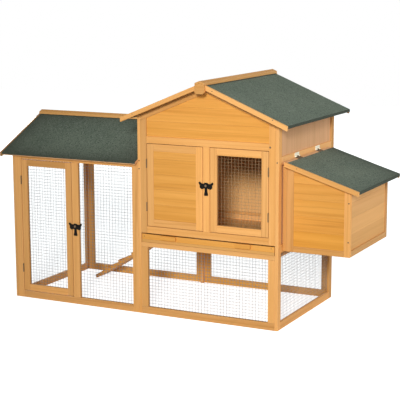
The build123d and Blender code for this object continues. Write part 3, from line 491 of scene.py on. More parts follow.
def remap(tree, value, low, high, new_low=0.0, new_high=1.0):
    """Maps a range of values to another range, held at its ends."""
    node = tree.nodes.new("ShaderNodeMapRange")
    settings = {"Value": value, "From Min": low, "From Max": high, "To Min": new_low, "To Max": new_high}
    for key, setting in settings.items():
        feed(tree, node.inputs[key], setting)
    return node.outputs["Result"]


def noise(tree, vector, scale=1.0, detail=2.0, roughness=0.5, distortion=0.0):
    """A noise value at a vector socket."""
    node = tree.nodes.new("ShaderNodeTexNoise")
    settings = {
        "Vector": vector, "Scale": scale, "Detail": detail, "Roughness": roughness, "Distortion": distortion,
    }
    for key, setting in settings.items():
        feed(tree, node.inputs[key], setting)
    return node.outputs["Fac"]


def times(tree, vector, factors):
    """A vector or colour socket multiplied axis by axis by a plain vector or another socket."""
    node = tree.nodes.new("ShaderNodeVectorMath")
    node.operation = "MULTIPLY"
    feed(tree, node.inputs[0], vector)
    feed(tree, node.inputs[1], factors)
    return node.outputs[0]


def read_attribute(tree, name, output):
    """Reads one of the piece's own attributes."""
    node = tree.nodes.new("ShaderNodeAttribute")
    node.attribute_name = name
    return node.outputs[output]


def object_places(tree):
    """Places in the piece's own frame."""
    return tree.nodes.new("ShaderNodeTexCoord").outputs["Object"]


def raise_by(tree, shader, height, strength, distance):
    """Lets a height socket bend the light as small bumps would."""
    bump = tree.nodes.new("ShaderNodeBump")
    bump.inputs["Strength"].default_value = strength
    bump.inputs["Distance"].default_value = distance
    tree.links.new(height, bump.inputs["Height"])
    tree.links.new(bump.outputs["Normal"], shader.inputs["Normal"])


print("node helpers ready in Blender", bpy.app.version_string)

# %% [markdown]
# ## Stained softwood
# The wood is fir with a thin honey-coloured stain. On the real coop the boards are more orange than
# the battens, each stick differs a little from its neighbour, fine darker lines run along it, a few
# knots break them, and worn edges are paler. Scanned wood would repeat and is tied to one unwrapping.
# Noise that is stretched along the stick's own grain never repeats and follows every stick.

# %% Wood finishes
# Scales of the patterns along, across and into a stick.
BROAD_STREAKS = (1.8, 34.0, 34.0)
GROWTH_RINGS = (1.5, 85.0, 50.0)
FINE_FIBRES = (26.0, 1300.0, 1300.0)
KNOT_CELLS = (5.0, 13.0, 13.0)
KNOT_HEART = (0.20, 0.075, 0.02, 1)
WORN_EDGE = (0.93, 0.62, 0.30, 1)
PALE_TONE = (0.80, 0.48, 0.215, 1)
TONE_SHARE = 0.4
KNOT_SHARE = 0.75
PALE_SHARE = 0.6
FIBRE_RELIEF = 0.6
RING_RELIEF = 0.8


def with_knots(tree, grain, colour, line, knots):
    """Sets knots into a share of the cells of a pattern: a dark heart and a fading halo."""
    cells = tree.nodes.new("ShaderNodeTexVoronoi")
    tree.links.new(times(tree, grain, KNOT_CELLS), cells.inputs["Vector"])
    cells.inputs["Scale"].default_value = 1.0
    distance = cells.outputs["Distance"]
    chosen = arithmetic(tree, "GREATER_THAN", cells.outputs["Color"], 1.0 - knots)
    heart = arithmetic(tree, "MULTIPLY", remap(tree, distance, 0.05, 0.13, 1.0, 0.0), chosen)
    halo = arithmetic(tree, "MULTIPLY", remap(tree, distance, 0.08, 0.34, 0.4, 0.0), chosen)
    colour = mix_colours(tree, halo, colour, line)
    return mix_colours(tree, arithmetic(tree, "MULTIPLY", heart, KNOT_SHARE), colour, KNOT_HEART)


def stained_fir(name, pale, deep, line, knots):
    """Softwood under a thin stain, from its pale and deep tones and the colour of its grain lines.

    Streaks and the stick's tone mix pale and deep. Rings and fibres add the line's colour, then come
    the knots, the worn edges and the paling, and the stick's tint, partly painted light and shade,
    multiplies the result.
    """
    material, tree, shader = fresh_material(name, Specular_IOR_Level=0.22)
    grain = read_attribute(tree, "grain", "Vector")
    streaks = noise(tree, times(tree, grain, BROAD_STREAKS), detail=3.0)
    rings = noise(tree, times(tree, grain, GROWTH_RINGS), detail=4.0, roughness=0.55, distortion=0.6)
    fibres = noise(tree, times(tree, grain, FINE_FIBRES), detail=3.0, roughness=0.6)
    streak = remap(tree, streaks, 0.3, 0.7, 0.0, 0.75)
    tone = read_attribute(tree, "tone", "Fac")
    blend = arithmetic(tree, "MULTIPLY_ADD", tone, TONE_SHARE, streak, clamp=True)
    colour = mix_colours(tree, blend, pale, deep)
    colour = mix_colours(tree, remap(tree, rings, 0.50, 0.72, 0.0, 0.55), colour, line)
    colour = mix_colours(tree, remap(tree, fibres, 0.45, 0.75, 0.0, 0.16), colour, line)
    colour = with_knots(tree, grain, colour, line, knots)
    arris = read_attribute(tree, "arris", "Fac")
    worn = arithmetic(tree, "MULTIPLY", arris, remap(tree, fibres, 0.35, 0.6, 0.1, 0.42))
    colour = mix_colours(tree, worn, colour, WORN_EDGE)
    paling = read_attribute(tree, "paling", "Fac")
    colour = mix_colours(tree, arithmetic(tree, "MULTIPLY", paling, PALE_SHARE), colour, PALE_TONE)
    shaded = times(tree, colour, read_attribute(tree, "tint", "Vector"))
    tree.links.new(shaded, shader.inputs["Base Color"])
    tree.links.new(remap(tree, rings, 0.3, 0.7, 0.58, 0.74), shader.inputs["Roughness"])
    fibre_height = arithmetic(tree, "MULTIPLY", fibres, FIBRE_RELIEF)
    height = arithmetic(tree, "ADD", fibre_height, arithmetic(tree, "MULTIPLY", rings, RING_RELIEF))
    raise_by(tree, shader, height, strength=0.35, distance=0.0006)
    return material


batten_fir = stained_fir(
    "batten_fir", (0.89, 0.475, 0.165, 1), (0.76, 0.372, 0.102, 1), (0.58, 0.255, 0.06, 1), knots=0.10
)
board_fir = stained_fir(
    "board_fir", (0.86, 0.425, 0.098, 1), (0.71, 0.322, 0.057, 1), (0.54, 0.22, 0.037, 1), knots=0.06
)
side_fir = stained_fir(
    "side_fir", (0.80, 0.47, 0.255, 1), (0.70, 0.40, 0.20, 1), (0.57, 0.30, 0.14, 1), knots=0.10
)
bare_fir = stained_fir(
    "bare_fir", (0.97, 0.56, 0.22, 1), (0.92, 0.51, 0.19, 1), (0.82, 0.43, 0.145, 1), knots=0.06
)
print("wood finishes:", batten_fir.name, board_fir.name, side_fir.name, bare_fir.name)

# %% [markdown]
# ## The frames and boards
# Battens get edges of about a millimetre. Boards are thinner and lie edge to edge, so their
# rounded edges leave the fine lines that show how a panel is put together. A Bevel modifier on each
# node would round them too, but only a stick of its own carries its own grain and shade.

# %% Dress all timber
BATTEN_EDGE = 0.0011
BOARD_EDGE = 0.0004
FRONT_BOARDS = ("house_front_boards", "left_door_boards", "nest_boards", "tray_front", "ramp")
INNER_BOARDS = ("house_back_boards", "tray_box")
SIDE_BOARDS = (
    "house_left_boards", "house_right_boards", "nest_floor", "nest_divider",
    "run_gable_boards", "run_roof_decks", "lid_deck", "house_roof_decks",
)


def timber_stick(node, index, points, triangles, radius):
    """One solid of a node as a softened stick: its points and faces, and its values for the finish."""
    axes = stick_axes(points, triangles)
    if axes is None:
        places, faces, arris = bevelled_solid(points, triangles, radius)
        directions = np.eye(3)
    else:
        places, faces, arris = rounded_stick(points, axes, radius)
        across, along = axes[:2]
        directions = np.stack([along, across, np.cross(along, across)])
    grain, tone = grain_places(places, directions)
    tint, paling = stick_look(node, index, places)
    tones = np.full(len(places), tone)
    return (places, faces), {"grain": grain, "tone": tones, "arris": arris, "tint": tint, "paling": paling}


def timber(node, material, radius):
    """Dresses a CAD node as timber: every solid becomes a softened stick with its own grain and tone."""
    sticks = [timber_stick(node, index, *solid, radius) for index, solid in enumerate(node_solids(node))]
    places, faces = joined([shell for shell, _ in sticks])
    looks = {key: np.concatenate([look[key] for _, look in sticks]) for key in sticks[0][1]}
    return stand_for(new_piece(node + "_timber", places, faces, **looks), node, material)


battens = [node for node, slot in slot_of.items() if slot == "fir_battens" and node not in FRONT_BOARDS]
for nodes, wood, edge in (
    (battens, batten_fir, BATTEN_EDGE),
    (FRONT_BOARDS, board_fir, BOARD_EDGE),
    (INNER_BOARDS, bare_fir, BOARD_EDGE),
    (SIDE_BOARDS, side_fir, BOARD_EDGE),
):
    pieces = [timber(node, wood, edge) for node in nodes]
    print(wood.name, "pieces", len(pieces), "faces", sum(len(piece.data.polygons) for piece in pieces))

# %% [markdown]
# ## Welded wire
# The wire is galvanised mesh with openings of about 16 mm. The CAD model keeps every second wire,
# which is enough for contact. A picture of mesh with holes would look flat from the side. So every
# wire is a thin tube: uprights inside, level wires outside, welded where they cross. A slow wave of
# a fraction of a millimetre keeps it from looking drawn.

# %% Wire tubes
UPRIGHT_PITCH = 0.016
LEVEL_PITCH = 0.0145
WIRE_SIDES = 5
WIRE_RINGS = 9
WIRE_WAVE = 0.0002
WAVE_HALVES = 3
PHASE_STEP = 2.399
UP = 2


def wire_tubes(starts, ends, side, outward, diameter):
    """Thin tubes from starts to ends: a circle carried along each line.

    The line is the straight way between its ends plus a sine wave along `side`, which fades
    to nothing at both ends and has its own phase on every wire.
    """
    share = np.linspace(0, 1, WIRE_RINGS)
    phase = np.arange(len(starts)) * PHASE_STEP
    wave = np.sin(share * WAVE_HALVES * pi + phase[:, None]) * np.sin(share * pi) * WIRE_WAVE
    line = starts[:, None] + (ends - starts)[:, None] * share[:, None] + wave[..., None] * side
    turn = np.arange(WIRE_SIDES) * 2 * pi / WIRE_SIDES
    circle = (np.cos(turn)[:, None] * side + np.sin(turn)[:, None] * outward) * diameter / 2
    points = (line[:, :, None] + circle).reshape(-1, 3)
    return points, ring_faces(WIRE_RINGS, WIRE_SIDES, copies=len(starts))


def wire_panel(node, normal_axis, outward_sign, diameter, material):
    """Fills a CAD grille's rectangle with uprights and level wires, one diameter apart in depth."""
    low, high = (np.array(corner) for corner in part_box(node))
    level_axis = 1 - normal_axis
    outward = np.eye(3)[normal_axis] * outward_sign
    depth = (low + high) / 2 * np.abs(outward)
    tubes = []
    for run_axis, step_axis, pitch, offset in (
        (UP, level_axis, UPRIGHT_PITCH, -diameter / 2),
        (level_axis, UP, LEVEL_PITCH, diameter / 2),
    ):
        run, step = np.eye(3)[run_axis], np.eye(3)[step_axis]
        width = high[step_axis] - low[step_axis] - diameter
        number = max(2, round(width / pitch) + 1)
        places = low[step_axis] + diameter / 2 + np.linspace(0, width, number)
        base = depth + outward * offset + places[:, None] * step
        starts, ends = base + run * low[run_axis], base + run * high[run_axis]
        tubes.append(wire_tubes(starts, ends, step, np.cross(run, step), diameter))
    piece = new_piece(node + "_wire", *joined(tubes))
    piece.data.polygons.foreach_set("use_smooth", np.ones(len(piece.data.polygons), dtype=bool))
    return stand_for(piece, node, material)


print("sides of a wire:", WIRE_SIDES, "rings along it:", WIRE_RINGS)

# %% [markdown]
# ## Zinc and the eight panels
# Zinc goes dull in the weather, in patches. The front panels are seen dark against the light, the far
# ones pale, and the window's wire picks up the brown of the house. Light alone doesn't show that
# on wires thinner than a pixel, so each group has its own tones and its own thickness.

# %% Wire panels
WIRE_DIAMETER = 0.0014
WINDOW_WIRE_DIAMETER = 0.0012
BACK_WIRE_DIAMETER = 0.0007


def zinc_wire(name, dull, bright):
    """Zinc on thin wire: noise mixes a dull and a bright tone and makes it rougher or smoother."""
    material, tree, shader = fresh_material(name, Metallic=0.2, Specular_IOR_Level=0.3)
    patch = noise(tree, object_places(tree), scale=60.0, detail=3.0)
    tree.links.new(mix_colours(tree, patch, dull, bright), shader.inputs["Base Color"])
    tree.links.new(remap(tree, patch, 0.3, 0.7, 0.35, 0.6), shader.inputs["Roughness"])
    return material


# These tones are painted light and shade for how each group is seen: dark at the front, pale far off and
# brown in the window.
front_wire = zinc_wire("front_wire", (0.23, 0.237, 0.25, 1), (0.32, 0.33, 0.345, 1))
back_wire = zinc_wire("back_wire", (0.50, 0.51, 0.53, 1), (0.60, 0.61, 0.63, 1))
warm_wire = zinc_wire("warm_wire", (0.38, 0.23, 0.12, 1), (0.50, 0.31, 0.17, 1))
for node, normal_axis, outward_sign, diameter, wire in (
    ("lower_front_mesh", 1, -1, WIRE_DIAMETER, front_wire),
    ("lower_right_mesh", 0, 1, WIRE_DIAMETER, front_wire),
    ("run_front_mesh", 1, -1, WIRE_DIAMETER, front_wire),
    ("run_door_mesh", 1, -1, WIRE_DIAMETER, front_wire),
    ("right_door_mesh", 1, -1, WINDOW_WIRE_DIAMETER, warm_wire),
    ("lower_back_mesh", 1, 1, BACK_WIRE_DIAMETER, back_wire),
    ("run_back_mesh", 1, 1, BACK_WIRE_DIAMETER, back_wire),
    ("run_left_mesh", 0, -1, BACK_WIRE_DIAMETER, back_wire),
):
    panel = wire_panel(node, normal_axis, outward_sign, diameter, wire)
    print(node, "wire faces", len(panel.data.polygons))

# %% [markdown]
# ## Felt sheets
# The roofs and the lid are covered in mineral felt. A sheet runs from the ridge down the slope, rolls
# over the eave and hangs down a little. A cloth simulation would add folds that nailed felt doesn't
# have. So its section is a line with an arc at the eave, carried along the roof with a slight
# unevenness, and it has its real thickness.

# %% Shape of a felt sheet
FELT_ROLL = 0.005
FELT_DIP = 0.0007
SLOPE_STEPS = 26
ROLL_STEPS = 6
ROOF_STEPS = 34
SAME_PLACE = 1e-4
# How fast two waves of dips go, along the roof and down the slope.
DIP_WAVES = ((21.0, 9.0), (5.0, 31.0))
# Steps down the slope around the edge of a ridge's cap, where a painted shadow line runs under the cap.
CAP_LINE = (0.025, 0.029, 0.034)


def felt_section(points, across_axis, capped):
    """A sheet's outer line and its normals, as distance from the ridge and height.

    The line goes from the ridge straight to the eave, turns around a quarter of a circle or so,
    and drops to the foot. Also returns the steps down the slope, the sheet's thickness, the place
    of the ridge and the way down.
    """
    across, height = points[:, across_axis], points[:, UP]
    ridge_place = across[height.argmax()]
    edge = across[np.abs(across - ridge_place).argmax()]
    at_edge = height[np.abs(across - edge) < SAME_PLACE]
    at_ridge = height[np.abs(across - ridge_place) < SAME_PLACE]
    ridge = np.array([0.0, height.max()])
    eave = np.array([abs(edge - ridge_place), at_edge.max()])
    slope = (eave - ridge) / np.linalg.norm(eave - ridge)
    pitch = -np.arctan2(slope[1], slope[0])
    turn = np.linspace(pi / 2 - pitch, 0, ROLL_STEPS)
    tangent = FELT_ROLL * np.tan((pi / 2 - pitch) / 2)
    hub = np.array([eave[0] - FELT_ROLL, eave[1] - tangent])
    steps = np.linspace(0, np.linalg.norm(eave - ridge) - tangent, SLOPE_STEPS)
    if capped:
        steps = np.sort(np.concatenate([steps, CAP_LINE]))
    straight = ridge + steps[:-1, None] * slope
    spokes = np.stack([np.cos(turn), np.sin(turn)], -1)
    outer = np.concatenate([straight, hub + FELT_ROLL * spokes, [[eave[0], at_edge.min()]]])
    normals = np.concatenate([np.tile([-slope[1], slope[0]], (len(straight), 1)), spokes, [[1.0, 0.0]]])
    return outer, normals, steps, np.ptp(at_ridge) * cos(pitch), ridge_place, np.sign(edge - ridge_place)


def felt_shell(points, run_axis, across_axis, capped, trims):
    """A felt sheet's points and faces, its steps down the slope and its places along the roof.

    The inner line lies one thickness inside the outer one, along the normals. Both are carried along
    the roof, less a trim at either end, while slow sines dip the outer line a little.
    """
    outer, normals, steps, thickness, ridge_place, way = felt_section(points, across_axis, capped)
    reach = points[:, run_axis]
    along = np.linspace(reach.min() + trims[0], reach.max() - trims[1], ROOF_STEPS)
    row, down = along[:, None], outer[None, :, 0]
    one, other = (np.sin(row * along_wave + down * down_wave) for along_wave, down_wave in DIP_WAVES)
    sunk = outer - normals * (FELT_DIP * (0.5 + 0.5 * one * other))[..., None]
    inner = (outer - normals * thickness)[::-1]
    profile = np.concatenate([sunk, np.broadcast_to(inner, sunk.shape)], axis=1)
    places = np.zeros(profile.shape[:2] + (3,))
    places[..., across_axis] = ridge_place + way * profile[..., 0]
    places[..., UP] = profile[..., 1]
    places[..., run_axis] = row
    return (places.reshape(-1, 3), ring_faces(ROOF_STEPS, profile.shape[1])), steps, along


lid_points = node_solids("lid_felt")[0][0]
print("points of the lid's felt:", len(felt_shell(lid_points, 1, 0, False, (0.0, 0.0))[0][0]))

# %% [markdown]
# ## Slate grains, painted shade and darker edges
# Felt is bitumen with crushed green slate rolled into it. Real grains would be millions of faces, so a
# pattern of cells gives every grain its tone and height. A painted shadow darkens the felt under the edge
# of each cap, the rolled eaves are painted in shade, and the felt also darkens towards the ridge, the eave
# and the ends of the run's roof and towards the lid's eave and far end; each point stores how much. The
# run's sheets stop a little short of the verge, so the brown edge of its board shows.

# %% Dress the roofs and the lid
EAVE_REACH = 0.06
RIDGE_REACH = 0.076
END_REACH = 0.09
GRAINS_PER_METRE = 260.0
DARKENING_SHARE = 0.75
# The colour the darkening mixes in, painted shade included.
DARK_FELT = (0.022, 0.026, 0.018, 1)
PALE_GRAIN = (0.30, 0.34, 0.30, 1)
DARK_GRAIN = (0.03, 0.045, 0.034, 1)
WEATHERED = (0.130, 0.170, 0.130, 1)
FRESH = (0.168, 0.212, 0.162, 1)
NO_TRIM = (0.0, 0.0)
VERGE_TRIM = (0.009, 0.0)


def felt_darkening(steps, along, line_points, capped, darkening):
    """How dark each point of a sheet is made, from 0 to 1.

    The darkening fades as an exponential of the distance from the ridge, the eave and both ends. It is full
    on the roll and at the cap's edge, where it is painted shade. The undarkened share of a point is the
    product of its undarkened shares.
    """
    at_ridge, at_eave, at_start, at_end = darkening
    from_ridge = at_ridge * np.exp(-steps / RIDGE_REACH)
    from_eave = at_eave * np.exp((steps - steps[-1]) / EAVE_REACH)
    dust = np.zeros(line_points)
    dust[:len(steps)] = np.maximum(from_eave, from_ridge)
    # The rolled eave is painted in shade.
    dust[len(steps):line_points // 2] = 1.0
    # A painted shadow line lies under the cap's edge.
    if capped:
        dust[np.searchsorted(steps, CAP_LINE[:2])] = 1.0
    from_start = at_start * np.exp((along[0] - along) / END_REACH)
    from_end = at_end * np.exp((along - along[-1]) / END_REACH)
    undarkened = (1 - dust) * ((1 - from_start) * (1 - from_end))[:, None]
    return 1 - undarkened.reshape(-1)


def mineral_felt():
    """Crushed green slate on bitumen: weathered patches, small pale and dark grains, and darkening that is
    partly painted shade.
    """
    material, tree, shader = fresh_material("mineral_felt", Roughness=0.92, Specular_IOR_Level=0.25)
    place = object_places(tree)
    grains = tree.nodes.new("ShaderNodeTexVoronoi")
    tree.links.new(place, grains.inputs["Vector"])
    grains.inputs["Scale"].default_value = GRAINS_PER_METRE
    fleck = tree.nodes.new("ShaderNodeSeparateColor")
    tree.links.new(grains.outputs["Color"], fleck.inputs["Color"])
    pale = remap(tree, fleck.outputs[0], 0.72, 1.0, 0.0, 0.55)
    dark = remap(tree, fleck.outputs[1], 0.70, 1.0, 0.0, 0.75)
    patch = remap(tree, noise(tree, place, scale=7.0, detail=4.0), 0.3, 0.7)
    colour = mix_colours(tree, patch, WEATHERED, FRESH)
    colour = mix_colours(tree, pale, colour, PALE_GRAIN)
    colour = mix_colours(tree, dark, colour, DARK_GRAIN)
    dust = arithmetic(tree, "MULTIPLY", read_attribute(tree, "dust", "Fac"), DARKENING_SHARE)
    tree.links.new(mix_colours(tree, dust, colour, DARK_FELT), shader.inputs["Base Color"])
    raise_by(tree, shader, grains.outputs["Distance"], strength=0.5, distance=0.0008)
    return material


def face_outwards(mesh):
    """Turns the faces of closed shells outwards."""
    work = bmesh.new()
    work.from_mesh(mesh)
    bmesh.ops.recalc_face_normals(work, faces=work.faces)
    work.to_mesh(mesh)
    work.free()


green_felt = mineral_felt()
# Darkening is given at the ridge, at the eave, at the start and at the end of a sheet.
for node, run_axis, across_axis, capped, trims, darkening in (
    ("house_roof_felts", 1, 0, True, NO_TRIM, (0.0, 0.0, 0.0, 0.0)),
    ("run_roof_felts", 0, 1, True, VERGE_TRIM, (0.95, 0.85, 0.9, 0.8)),
    ("lid_felt", 1, 0, False, NO_TRIM, (0.0, 0.3, 0.0, 0.85)),
):
    shells, dusts = [], []
    for solid_points, _ in node_solids(node):
        shell, steps, along = felt_shell(solid_points, run_axis, across_axis, capped, trims)
        shells.append(shell)
        dusts.append(felt_darkening(steps, along, len(shell[0]) // ROOF_STEPS, capped, darkening))
    sheet = new_piece(node + "_sheet", *joined(shells), dust=np.concatenate(dusts))
    face_outwards(sheet.data)
    stand_for(sheet, node, green_felt)
    print(node, "felt faces", len(sheet.data.polygons))

# %% [markdown]
# ## Latches, hinges and screws
# The two latches are black castings with softened edges. The hinges are plated: creamy on the wall
# over the nest, partly a painted reflection of the white surround, and dark brown on the doors. The lid's
# own leaves, the screws and the nails are tarnished brown. Hinges and screws keep their CAD shapes,
# because they are straight plates and round barrels that show nothing more from any distance, and only take
# a finish.

# %% Metals and latches
NEST_SIDE = 0.545
TARNISHED = ("lid_hinge_leaves", "screws")
ROLLING_LINES = (90.0, 2400.0, 2400.0)
DULL_METAL = 0.1
NEST_METAL = 0.05


def satin_black():
    """Black paint on a casting: faint orange peel and slightly rubbed spots."""
    material, tree, shader = fresh_material("satin_black", Specular_IOR_Level=0.1)
    place = object_places(tree)
    rub = noise(tree, place, scale=130.0, detail=3.0)
    rubbed = remap(tree, rub, 0.55, 0.8, 0.0, 0.5)
    colour = mix_colours(tree, rubbed, (0.004, 0.0035, 0.003, 1), (0.016, 0.013, 0.010, 1))
    tree.links.new(colour, shader.inputs["Base Color"])
    tree.links.new(remap(tree, rub, 0.3, 0.7, 0.42, 0.6), shader.inputs["Roughness"])
    peel = noise(tree, place, scale=900.0)
    raise_by(tree, shader, peel, strength=0.2, distance=0.0003)
    return material


def plated_steel():
    """Plated steel: creamy on the nest's hinges, partly a painted reflection, and dark brown on the others,
    with rolling lines.
    """
    material, tree, shader = fresh_material("plated_steel", Specular_IOR_Level=0.3)
    place = object_places(tree)
    lines = noise(tree, times(tree, place, ROLLING_LINES), detail=3.0)
    spots = remap(tree, noise(tree, place, scale=240.0, detail=3.0), 0.4, 0.75)
    # Part of the nest hinges' creamy brightness is a painted reflection of the white surround.
    creamy = mix_colours(tree, spots, (1.0, 0.95, 0.78, 1), (0.95, 0.86, 0.64, 1))
    dark_plate = mix_colours(tree, spots, (0.22, 0.14, 0.07, 1), (0.13, 0.08, 0.04, 1))
    across = tree.nodes.new("ShaderNodeSeparateXYZ")
    tree.links.new(place, across.inputs["Vector"])
    on_nest = arithmetic(tree, "GREATER_THAN", across.outputs["X"], NEST_SIDE)
    metallic = arithmetic(tree, "MULTIPLY_ADD", on_nest, NEST_METAL, DULL_METAL)
    tree.links.new(mix_colours(tree, on_nest, dark_plate, creamy), shader.inputs["Base Color"])
    tree.links.new(metallic, shader.inputs["Metallic"])
    tree.links.new(remap(tree, lines, 0.3, 0.7, 0.34, 0.52), shader.inputs["Roughness"])
    return material


def rusty_steel():
    """Tarnished steel: dark brown with paler rubbed spots."""
    material, tree, shader = fresh_material("rusty_steel", Metallic=0.3, Roughness=0.55)
    spots = remap(tree, noise(tree, object_places(tree), scale=500.0, detail=3.0), 0.4, 0.7)
    colour = mix_colours(tree, spots, (0.10, 0.06, 0.03, 1), (0.24, 0.16, 0.09, 1))
    tree.links.new(colour, shader.inputs["Base Color"])
    return material


black_paint = satin_black()
plate = plated_steel()
dark_steel = rusty_steel()
for node, (places, faces, _) in latches.items():
    stand_for(new_piece(node + "_button", places, faces), node, black_paint)

steel_nodes = [node for node, slot in slot_of.items() if slot == "bright_steel"]
for node in steel_nodes:
    data = frame["nodes"][node].data
    data.materials.clear()
    data.materials.append(dark_steel if node in TARNISHED else plate)
print("latches:", len(latches), "steel nodes:", len(steel_nodes))

# %% [markdown]
# ## Nail heads
# A few nails show on the front as dark dots. They could be spots in the wood's colour, but then they
# wouldn't catch the light. Each head is a low dome: a circle that shrinks like a cosine while it rises
# like a sine. The heads are too small for the CAD model, so they are added here and ride on the body
# whose wood they are driven into.

# %% Nails
NAIL_SIDES = 10
NAIL_RINGS = 4
NAIL_RISE = 0.3
DOME_END = 0.48 * pi
NAILS = {
    "coop": (
        (0.508, -0.331, 0.817, 0.0045), (0.255, -0.386, 1.054, 0.0025),
        (0.542, -0.386, 0.942, 0.0025), (-0.146, -0.386, 0.937, 0.0025),
    ),
    "tray": ((-0.122, -0.3295, 0.368, 0.0022), (0.516, -0.3295, 0.370, 0.0022)),
    "nest_lid": ((0.622, -0.307, 0.728, 0.0022),),
}


def nail_heads(places):
    """Domes on faces that look to the front, from rows of x, y, z and radius.

    At an angle from nought to nearly a right angle, the ring's radius is the head's radius times
    the cosine, and its rise is the radius times NAIL_RISE times the sine.
    """
    places = np.array(places)
    lift = np.linspace(0, DOME_END, NAIL_RINGS)[:, None]
    turn = np.arange(NAIL_SIDES) * 2 * pi / NAIL_SIDES
    rise = np.broadcast_to(-NAIL_RISE * np.sin(lift), (NAIL_RINGS, NAIL_SIDES))
    dome = np.stack([np.cos(lift) * np.cos(turn), rise, np.cos(lift) * np.sin(turn)], -1).reshape(-1, 3)
    points = places[:, None, :3] + places[:, None, 3:] * dome
    return points.reshape(-1, 3), ring_faces(NAIL_RINGS, NAIL_SIDES, copies=len(places))


for body, places in NAILS.items():
    heads = new_piece(body + "_nails", *nail_heads(places))
    heads.data.materials.append(dark_steel)
    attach(heads, body)
    print(body, "nail heads", len(places))

# %% [markdown]
# ## A white floor
# The coop stands on a white floor that has no edge in view. A lamp that makes a floor pure white also
# bleaches the wood. So the floor adds white only where it is seen straight, and it keeps the shadow.

# %% Floor
FLOOR_HALF = 9.0
FLOOR_GLOW = 0.91


def seen_straight(tree):
    """One for rays from the camera, from a gloss or through glass, and nought for soft light."""
    path = tree.nodes.new("ShaderNodeLightPath")
    direct = arithmetic(tree, "MAXIMUM", path.outputs["Is Camera Ray"], path.outputs["Is Glossy Ray"])
    return arithmetic(tree, "MAXIMUM", direct, path.outputs["Is Transmission Ray"])


def pale_floor():
    """A pale floor that takes soft shadows; rays that see it straight get a cool white on top."""
    material, tree, shader = fresh_material("pale_floor", Roughness=0.9, Specular_IOR_Level=0.0)
    shader.inputs["Base Color"].default_value = (0.82, 0.80, 0.76, 1)
    shader.inputs["Emission Color"].default_value = (0.90, 0.955, 1, 1)
    glow = arithmetic(tree, "MULTIPLY", seen_straight(tree), FLOOR_GLOW)
    tree.links.new(glow, shader.inputs["Emission Strength"])
    return material


floor_corners = np.array([(-1, -1, 0), (1, -1, 0), (1, 1, 0), (-1, 1, 0)]) * FLOOR_HALF
floor = new_piece("floor", floor_corners, [[0, 1, 2, 3]])
floor.data.materials.append(pale_floor())
print("floor side", 2 * FLOOR_HALF, "m")

# %% [markdown]
# ## A white surround
# Behind the floor everything is white too. A backdrop of mesh could show that, but it would shade the
# coop from behind. So the world looks white where it is seen straight, and gives only a soft warm light.

# %% Surround
SOFT_LIGHT = 0.24
SEEN_LIGHT = 1.0
world = bpy.data.worlds.new("studio")
bpy.context.scene.world = world
world.use_nodes = True
tree = world.node_tree
soft = tree.nodes["Background"]
soft.inputs["Color"].default_value = (1, 0.96, 0.89, 1)
soft.inputs["Strength"].default_value = SOFT_LIGHT
seen = tree.nodes.new("ShaderNodeBackground")
seen.inputs["Color"].default_value = (1, 1, 1, 1)
seen.inputs["Strength"].default_value = SEEN_LIGHT
either = tree.nodes.new("ShaderNodeMixShader")
tree.links.new(seen_straight(tree), either.inputs["Fac"])
tree.links.new(soft.outputs["Background"], either.inputs[1])
tree.links.new(seen.outputs["Background"], either.inputs[2])
tree.links.new(either.outputs["Shader"], tree.nodes["World Output"].inputs["Surface"])
print("surround's soft light", SOFT_LIGHT, "and as it is seen", SEEN_LIGHT)

# %% [markdown]
# ## Four lamps
# A strong spot in front and to the right makes the front the brightest face, and its soft rim lets the
# light fall off towards the run. One lamp lights the nest's end, a low one reaches into the run, and one
# behind picks out the backs of the far sticks. A picture of a sky could light the coop as well, but
# lamps can be aimed one by one.

# %% Lamps
def aimed_lamp(name, kind, place, target, power):
    """A lamp at a place that faces a target, itself left out of the picture."""
    data = bpy.data.lights.new(name, kind)
    data.energy = power
    lamp = bpy.data.objects.new(name, data)
    lamp.location = place
    lamp.rotation_euler = (Vector(target) - Vector(place)).to_track_quat("-Z", "Y").to_euler()
    lamp.visible_camera = False
    bpy.context.scene.collection.objects.link(lamp)
    return data


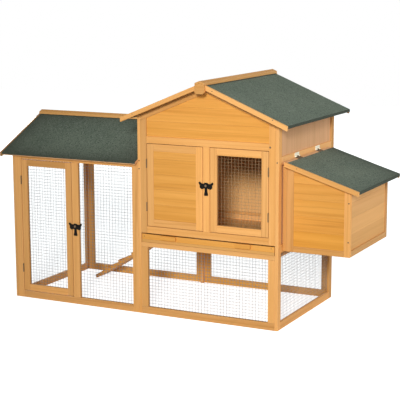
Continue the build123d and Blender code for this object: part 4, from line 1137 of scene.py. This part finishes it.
key = aimed_lamp("key_lamp", "SPOT", place=(4.21, -11.03, 4.43), target=(0.35, -0.3, 0.72), power=5480)
key.spot_size = radians(16.2)
key.spot_blend = 1.0
key.shadow_soft_size = 1.1
side = aimed_lamp("side_lamp", "AREA", place=(3.4, 0.3, 1.5), target=(0.6, 0.0, 0.7), power=30)
side.size = 1.8
low_fill = aimed_lamp("low_fill_lamp", "AREA", place=(-1.8, -4.2, 0.9), target=(-0.5, 0.2, 0.3), power=16)
low_fill.size = 2.0
low_fill.color = (1.0, 0.96, 0.84)
back = aimed_lamp("back_lamp", "AREA", place=(-5.0, 6.5, 1.3), target=(-0.1, 0.2, 0.6), power=150)
back.size = 2.2
print("lamps:", [(lamp.name, lamp.energy) for lamp in (key, side, low_fill, back)])

# %% [markdown]
# ## The camera
# The camera stands in front and to the right, a little above the lid. Its place, direction and lens
# were fitted to the straight edges of the house, the run and the nest box. A Track To constraint could
# aim it, but not with the slight roll that came out of the fit, so its three axes make a matrix.

# %% Camera
AZIMUTH = radians(26.992)
ELEVATION = radians(10.298)
ROLL = radians(-0.174)
CAMERA_PLACE = Vector((2.6022, -5.1111, 1.5348))
LENS_MM = 109.68
SENSOR_MM = 36.0

backwards = Vector((sin(AZIMUTH) * cos(ELEVATION), -cos(AZIMUTH) * cos(ELEVATION), sin(ELEVATION)))
level = Vector((0, 0, 1)).cross(backwards).normalized()
upwards = backwards.cross(level)
right = cos(ROLL) * level + sin(ROLL) * upwards
upwards = cos(ROLL) * upwards - sin(ROLL) * level
turned = Matrix((right, upwards, backwards)).transposed().to_4x4()
camera_data = bpy.data.cameras.new("photo_camera")
camera_data.lens = LENS_MM
camera_data.sensor_width = SENSOR_MM
camera = bpy.data.objects.new("photo_camera", camera_data)
camera.matrix_world = Matrix.Translation(CAMERA_PLACE) @ turned
bpy.context.scene.collection.objects.link(camera)
bpy.context.scene.camera = camera
bpy.context.scene.view_settings.view_transform = "Standard"
print("camera distance", round(CAMERA_PLACE.length, 3), "m, lens", LENS_MM, "mm")
